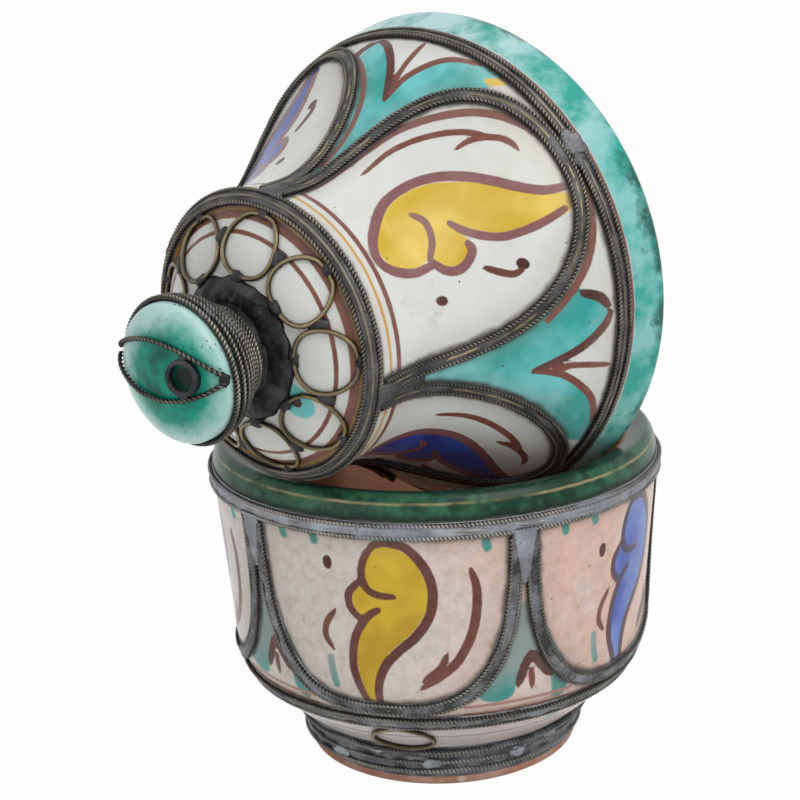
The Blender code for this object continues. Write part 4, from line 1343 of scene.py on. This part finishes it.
ring_low = foot_end + FOOT_CORD / 2 + GAP
ring_high = BANDS["waist"][1] - BAND_HALF - GAP
ring("foot_ring", "bowl", math.radians(FOOT_RING_ANGLE), (ring_low + ring_high) / 2,
     FOOT_RING_WIDTH, ring_high - ring_low)
ring_out = BANDS["lid_shoulder"][1] + BAND_HALF + GAP
ring_in = knob_foot - SOLDER_WIDTH - GAP
ring_middle = (ring_out + ring_in) / 2
ring_pitch = 2 * lid.at(ring_middle)[0] * math.sin(math.pi / RING_COUNT)
ring_size = min(ring_in - ring_out, ring_pitch - RING_SPACING)
RING_ANGLES = [FIRST_RING + 360 / RING_COUNT * number for number in range(RING_COUNT)]
for number, degrees in enumerate(RING_ANGLES):
    ring(f"lid_top_ring_{number + 1}", "lid", math.radians(degrees), ring_out + ring_size / 2,
         ring_size, ring_size)
print("ring size", round(ring_size * 1000, 2), "mm")

# %% The eye on the knob
EYE_TURN = math.radians(-4.2)
EYE_WIRE = 0.0013
EYE_LAY = 0.0028
EYE_BULGE = 0.0072
EYE_OFFSET = 0.0030
EYE_RING_OFFSET = 0.0093
EYE_TUBE = [(-0.00055, -0.0012), (0.00065, -0.0012), (0.00070, 0.0008), (0.00035, 0.0012), (-0.0003, 0.0012),
            (-0.00055, 0.0008)]
crown = lid.lengths[-1]


def on_crown(x, y):
    """Angles and lengths of places on the knob's crown."""
    return np.unwrap(np.arctan2(y, x)) + EYE_TURN, crown - np.hypot(x, y)


eye_half = math.sqrt((crown - knob_edge - KNOB_CORD / 2 - GAP - EYE_WIRE / 2) ** 2 - EYE_OFFSET**2)
eye_corner = (EYE_WIRE + GAP) / 2
eye_bulge = EYE_BULGE - eye_corner
for label, side in (("upper", -1), ("lower", 1)):
    x = np.linspace(-eye_half, eye_half, 120)
    y = side * (eye_corner + eye_bulge * (1 - (x / eye_half) ** 2)) - EYE_OFFSET
    cord(f"knob_eye_{label}_cord", "lid", *on_crown(x, y), EYE_WIRE, False, "lid_cord", lay=EYE_LAY)
slope = 2 * eye_bulge * EYE_RING_OFFSET / eye_half**2
room = (eye_corner + eye_bulge * (1 - (EYE_RING_OFFSET / eye_half) ** 2)) / math.hypot(1, slope)
eye_radius = room - EYE_WIRE / 2 - GAP - RING_WIRE / 2
print("eye half", round(eye_half * 1000, 2), "ring radius", round(eye_radius * 1000, 2))


def eye_ring():
    """A short piece of tube, flattened at its edge, standing on the crown."""
    mesh = spin_mesh([(eye_radius + out, up) for out, up in EYE_TUBE + EYE_TUBE[:1]], 48, Matrix.Identity(4))
    for vert in mesh.vertices:
        vert.co *= 1 + 0.04 * noise.noise(vert.co * 400)
    angle, length = on_crown(np.array([-EYE_RING_OFFSET]), np.array([-EYE_OFFSET]))
    spot = Vector(in_place("lid", lid.place(angle, length, RING_WIRE / 2))[0])
    up = Vector(in_place("lid", lid.facing(angle, length), True)[0])
    mesh.transform(Matrix.Translation(spot) @ up.to_track_quat("Z", "Y").to_matrix().to_4x4())
    return add_piece("knob_eye_ring", mesh, FINISHES["old_solder"], "lid", ["knob_eye_ring"])


eye_ring()
print("lengths laid, in millimetres", LAID)

# %% [markdown]
# ## Solder
#
# Solder holds the net together. It lies as an uneven bed between the wires of each band and
# frame, fills the corners where petals meet, and stands in lumps where rings touch. A bed is a
# flat grid laid along the path, raised in its middle and roughened; a lump is a small ball,
# pressed flat and roughened.


# %% Beds and lumps
BED_DIP = 0.0002


def bed(name, body, angle, length, half, rise, rough, closed, material=None, columns=11):
    """A strip of solder along a path, so wide and so high at each step. Its edges dip into the clay."""
    form = FORMS[body]
    angle, length, half, rise = np.broadcast_arrays(angle, length, half, rise)
    count = len(angle) - 1
    bm = bmesh.new()
    bmesh.ops.create_grid(bm, x_segments=count, y_segments=columns - 1, size=1.0)
    flat = np.array([vert.co[:2] for vert in bm.verts])
    index = np.rint((flat[:, 0] + 1) / 2 * count).astype(int)
    radius = form.at(length)[0]
    run = np.gradient(angle) * radius
    climb = np.gradient(length)
    size = np.hypot(run, climb)
    width = half[index] * flat[:, 1]
    spots = angle[index] - width * (climb / size / radius)[index], length[index] + width * (run / size)[index]
    blot = np.array([noise.fractal(Vector(place) * 260, 1.0, 2.0, 3) for place in form.place(*spots)])
    height = (1 - abs(flat[:, 1]) ** 4) * rise[index] * (1 + rough * blot) - BED_DIP
    for vert, place in zip(bm.verts, form.place(*spots, height)):
        vert.co = place
    if closed:
        bmesh.ops.remove_doubles(bm, verts=bm.verts[:], dist=1e-5)
    bmesh.ops.recalc_face_normals(bm, faces=bm.faces[:])
    bmesh.ops.transform(bm, matrix=PLACES[body], verts=bm.verts[:])
    mesh = as_mesh(bm, name)
    outward = in_place(body, form.facing(angle[count // 2:][:1], length[count // 2:][:1]), True)[0]
    if Vector(outward).dot(mesh.polygons[len(mesh.polygons) // 2].normal) < 0:
        mesh.flip_normals()
    return add_piece(name, mesh, FINISHES[material or body + "_solder"], body)


def lumps(name, body, spots, material):
    """Lumps of solder, each at an angle in degrees and a length, lift and three sizes in millimetres."""
    form = FORMS[body]
    bm = bmesh.new()
    for degrees, length, lift, wide, tall, thick in spots:
        angle = np.array([math.radians(degrees)])
        spot = Vector(form.place(angle, np.array([length / 1000]), lift / 1000)[0])
        up = Vector(form.facing(angle, np.array([length / 1000]))[0])
        sideways = Vector((-math.sin(angle[0]), math.cos(angle[0]), 0.0))
        made = bmesh.ops.create_icosphere(bm, subdivisions=3, radius=1.0)["verts"]
        for vert in made:
            vert.co *= 1 + 0.42 * noise.fractal(vert.co * 1.1 + spot * 900, 1.0, 2.0, 3)
        axes = Matrix((sideways * wide, up.cross(sideways) * tall, up * thick)).transposed().to_4x4()
        bmesh.ops.transform(bm, matrix=Matrix.Translation(spot) @ axes @ Matrix.Scale(0.0005, 4), verts=made)
    bmesh.ops.recalc_face_normals(bm, faces=bm.faces[:])
    bmesh.ops.transform(bm, matrix=PLACES[body], verts=bm.verts[:])
    return add_piece(name, as_mesh(bm, name), FINISHES[material], body)


# %% Beds under the bands and frames
BED_RISE = {"bowl": 0.00140, "lid": 0.00118}
BED_ROUGH = 0.22
FOOT_BED_RISE = 0.00150
FOOT_BED_ROUGH = 0.30
around = np.linspace(0.0, math.tau, 361)
for label, (body, middle) in BANDS.items():
    bed(label + "_solder", body, around, middle, BAND_HALF, BED_RISE[body], BED_ROUGH, True,
        "frame_solder" if label == "waist" else None)
for label, body, (angle, length) in PETALS:
    bed(label + "_solder", body, angle, length, FRAME_HALF, BED_RISE[body], BED_ROUGH, False,
        "frame_solder" if body == "bowl" else None)
foot_middle = (foot_start + foot_end) / 2
foot_half = (foot_end - foot_start) / 2 + FOOT_CORD / 2
bed("foot_solder", "bowl", around, foot_middle, foot_half, FOOT_BED_RISE, FOOT_BED_ROUGH, True, "foot_solder")
print("beds", len(BANDS) + len(PETALS) + 1)

# %% Solder at the feet of the petals
stem_share = np.linspace(0.0, 1.0, 25)


def stem_bed(name, body, stem, band, ends, half, rise, rough):
    """Solder that runs down a stem from its band."""
    length = between(BANDS[band][1] - ends[0], BANDS[band][1] - ends[1], stem_share)
    bed(name, body, math.radians(stem), length, half, rise, rough, False)


for number, stem in enumerate(BOWL_STEMS):
    stem_bed(f"bowl_stem_{number + 1}_solder", "bowl", stem, "bowl_rim", (0.0010, 0.0165),
             0.0050 - 0.0024 * stem_share**0.6, 0.0020 - 0.0008 * stem_share, 0.18)
for number, stem in enumerate(LID_STEMS):
    stem_bed(f"lid_stem_{number + 1}_solder", "lid", stem, "lid_shoulder", (0.0012, 0.0175),
             0.0048 - 0.0026 * stem_share**0.7, 0.0018 - 0.0007 * stem_share, 0.20)
print("stems", len(BOWL_STEMS) + len(LID_STEMS))

# %% Lumps on the lid
RIM_PATCH = [(216.5, 14.6, 0.7, 9.0, 6.5, 1.6), (213.0, 15.6, 0.7, 5.0, 4.0, 1.5)]
BESIDE_RING = 0.0008
lid_lumps = []
for degrees in RING_ANGLES:
    lid_lumps.append((degrees + 20, ring_middle * 1000 - 0.6, 0.6, 3.4, 5.0, 1.7))
    lid_lumps.append((degrees, ring_out * 1000 + 0.2, 0.6, 3.6, 2.6, 1.8))
    lid_lumps.append((degrees + 2, ring_in * 1000 - 0.4, 0.6, 4.6, 3.0, 2.0))
eye_x = np.array([-EYE_RING_OFFSET, -EYE_RING_OFFSET, -eye_half])
eye_y = np.array([-eye_radius - BESIDE_RING, eye_radius + BESIDE_RING, 0.0]) - EYE_OFFSET
for angle, length, wide in zip(*on_crown(eye_x, eye_y), (2.6, 2.8, 3.4)):
    lid_lumps.append((math.degrees(angle), length * 1000, 0.6, wide, wide * 0.8, 1.6))
lumps("lid_solder_lumps", "lid", lid_lumps, "old_solder")
lumps("lid_rim_solder_patch", "lid", RIM_PATCH, "foot_solder")
print("lumps on the lid", len(lid_lumps))

# %% Lumps on the bowl
FOOT_LUMPS = [(-95.1, 8.4, 6.0, 3.2, 2.6), (-59.7, 8.7, 7.0, 3.6, 2.6), (-43.1, 10.5, 5.0, 3.2, 2.4),
              (-118.0, 12.0, 4.4, 3.0, 2.2), (-136.0, 7.2, 6.0, 3.0, 2.4), (10.0, 9.0, 5.6, 3.2, 2.4),
              (47.0, 11.0, 6.4, 3.0, 2.4), (95.0, 8.0, 6.0, 3.4, 2.4), (140.0, 10.4, 5.4, 3.0, 2.4),
              (178.0, 8.8, 6.0, 3.2, 2.4)]
bowl_lumps = [(degrees, length, 0.9, *sizes) for degrees, length, *sizes in FOOT_LUMPS]
bowl_lumps += [(FOOT_RING_ANGLE, length * 1000, 0.6, 5.0, 1.8, 1.4) for length in (ring_high, ring_low)]
lumps("bowl_solder_lumps", "bowl", bowl_lumps, "bowl_solder")
print("lumps on the bowl", len(bowl_lumps))

# %% Collar of solder at the knob
def knob_collar():
    """A rough skirt of solder that seats the knob's winding on the lid's top."""
    lengths = np.linspace(knob_foot - SOLDER_WIDTH - 0.0006, knob_start + 0.0004, 21)
    swell = SOLDER_RISE * np.sin(np.linspace(0, 1, 21) ** 0.7 * 2.5)
    low = [tuple(p[[0, 2]]) for p in lid.place(np.zeros(21), lengths, -BED_DIP)]
    high = [tuple(p[[0, 2]]) for p in lid.place(np.zeros(21), lengths, swell)]
    mesh = spin_mesh(low[::-1] + high[1:] + [low[-1]], 160, Matrix.Identity(4))
    for vert in mesh.vertices:
        radius = math.hypot(vert.co.x, vert.co.y)
        vert.co.z += 0.0009 * noise.fractal(vert.co * 210, 1.0, 2.0, 4) * (1 if vert.normal.z > 0 else 0)
        stretch = 1 + 0.05 * noise.noise(vert.co * 240) * (radius > 0.014)
        vert.co.x *= stretch
        vert.co.y *= stretch
    mesh.transform(PLACES["lid"])
    return add_piece("knob_solder_skirt", mesh, FINISHES["old_solder"], "lid",
                     ["knob_solder_collar"])


knob_collar()

# %% [markdown]
# ## Floor and light
#
# The piece stands on plain white. A large soft lamp hangs to the upper right, a weaker one fills
# from the left, and an even sky lights the rest at a level where a colour looks as it is written.

# %% Floor, lamps and sky
bm = bmesh.new()
bmesh.ops.create_grid(bm, x_segments=1, y_segments=1, size=6.0)
floor_mesh = as_mesh(bm, "floor")
floor = bpy.data.objects.new("floor", floor_mesh)
bpy.context.scene.collection.objects.link(floor)


def seen(tree):
    """1 for what the camera, a mirror or a clear piece sees directly, else 0."""
    path = tree.nodes.new("ShaderNodeLightPath")
    names = ("Is Camera Ray", "Is Glossy Ray", "Is Transmission Ray")
    direct, mirrored, refracted = [Tone(tree, path.outputs[name]) for name in names]
    return direct.most(mirrored).most(refracted)


floor_paint, floor_shader, floor_coords = finish("white_floor")
floor_tree = floor_paint.node_tree
floor_shader.inputs["Base Color"].default_value = colour(0.86, 0.86, 0.86)
floor_shader.inputs["Roughness"].default_value = 0.9
floor_shader.inputs["Specular IOR Level"].default_value = 0.0
glow = floor_coords.node("ShaderNodeEmission", None, {"Color": colour(1, 1, 1), "Strength": 1.0})
plain_floor = Tone(floor_tree, floor_shader.outputs[0])
mixed = glow.node("ShaderNodeMixShader", None, {0: seen(floor_tree) * 0.95, 1: plain_floor, 2: glow})
floor_tree.links.new(mixed.output, floor_tree.nodes["Material Output"].inputs["Surface"])
floor_mesh.materials.append(floor_paint)

sky = bpy.data.worlds.new("studio")
sky.use_nodes = True
bpy.context.scene.world = sky
background = sky.node_tree.nodes["Background"]
background.inputs["Color"].default_value = colour(1, 1, 1)
level = 0.38 + seen(sky.node_tree) * 0.62
sky.node_tree.links.new(level.output, background.inputs["Strength"])


def lamp(name, place, size, power):
    """A square soft lamp that points at the object's middle."""
    made = bpy.data.lights.new(name, "AREA")
    made.size = size
    made.energy = power
    held = bpy.data.objects.new(name, made)
    held.location = place
    held.rotation_euler = (Vector((0, 0, 0.1)) - Vector(place)).to_track_quat("-Z", "Y").to_euler()
    bpy.context.scene.collection.objects.link(held)


lamp("key", (0.70, -0.80, 1.15), 0.9, 12.5)
lamp("fill", (-0.95, -0.85, 0.25), 0.9, 3.2)
lamp("top", (0.2, 0.2, 1.5), 1.0, 2.5)
print("lamps set")
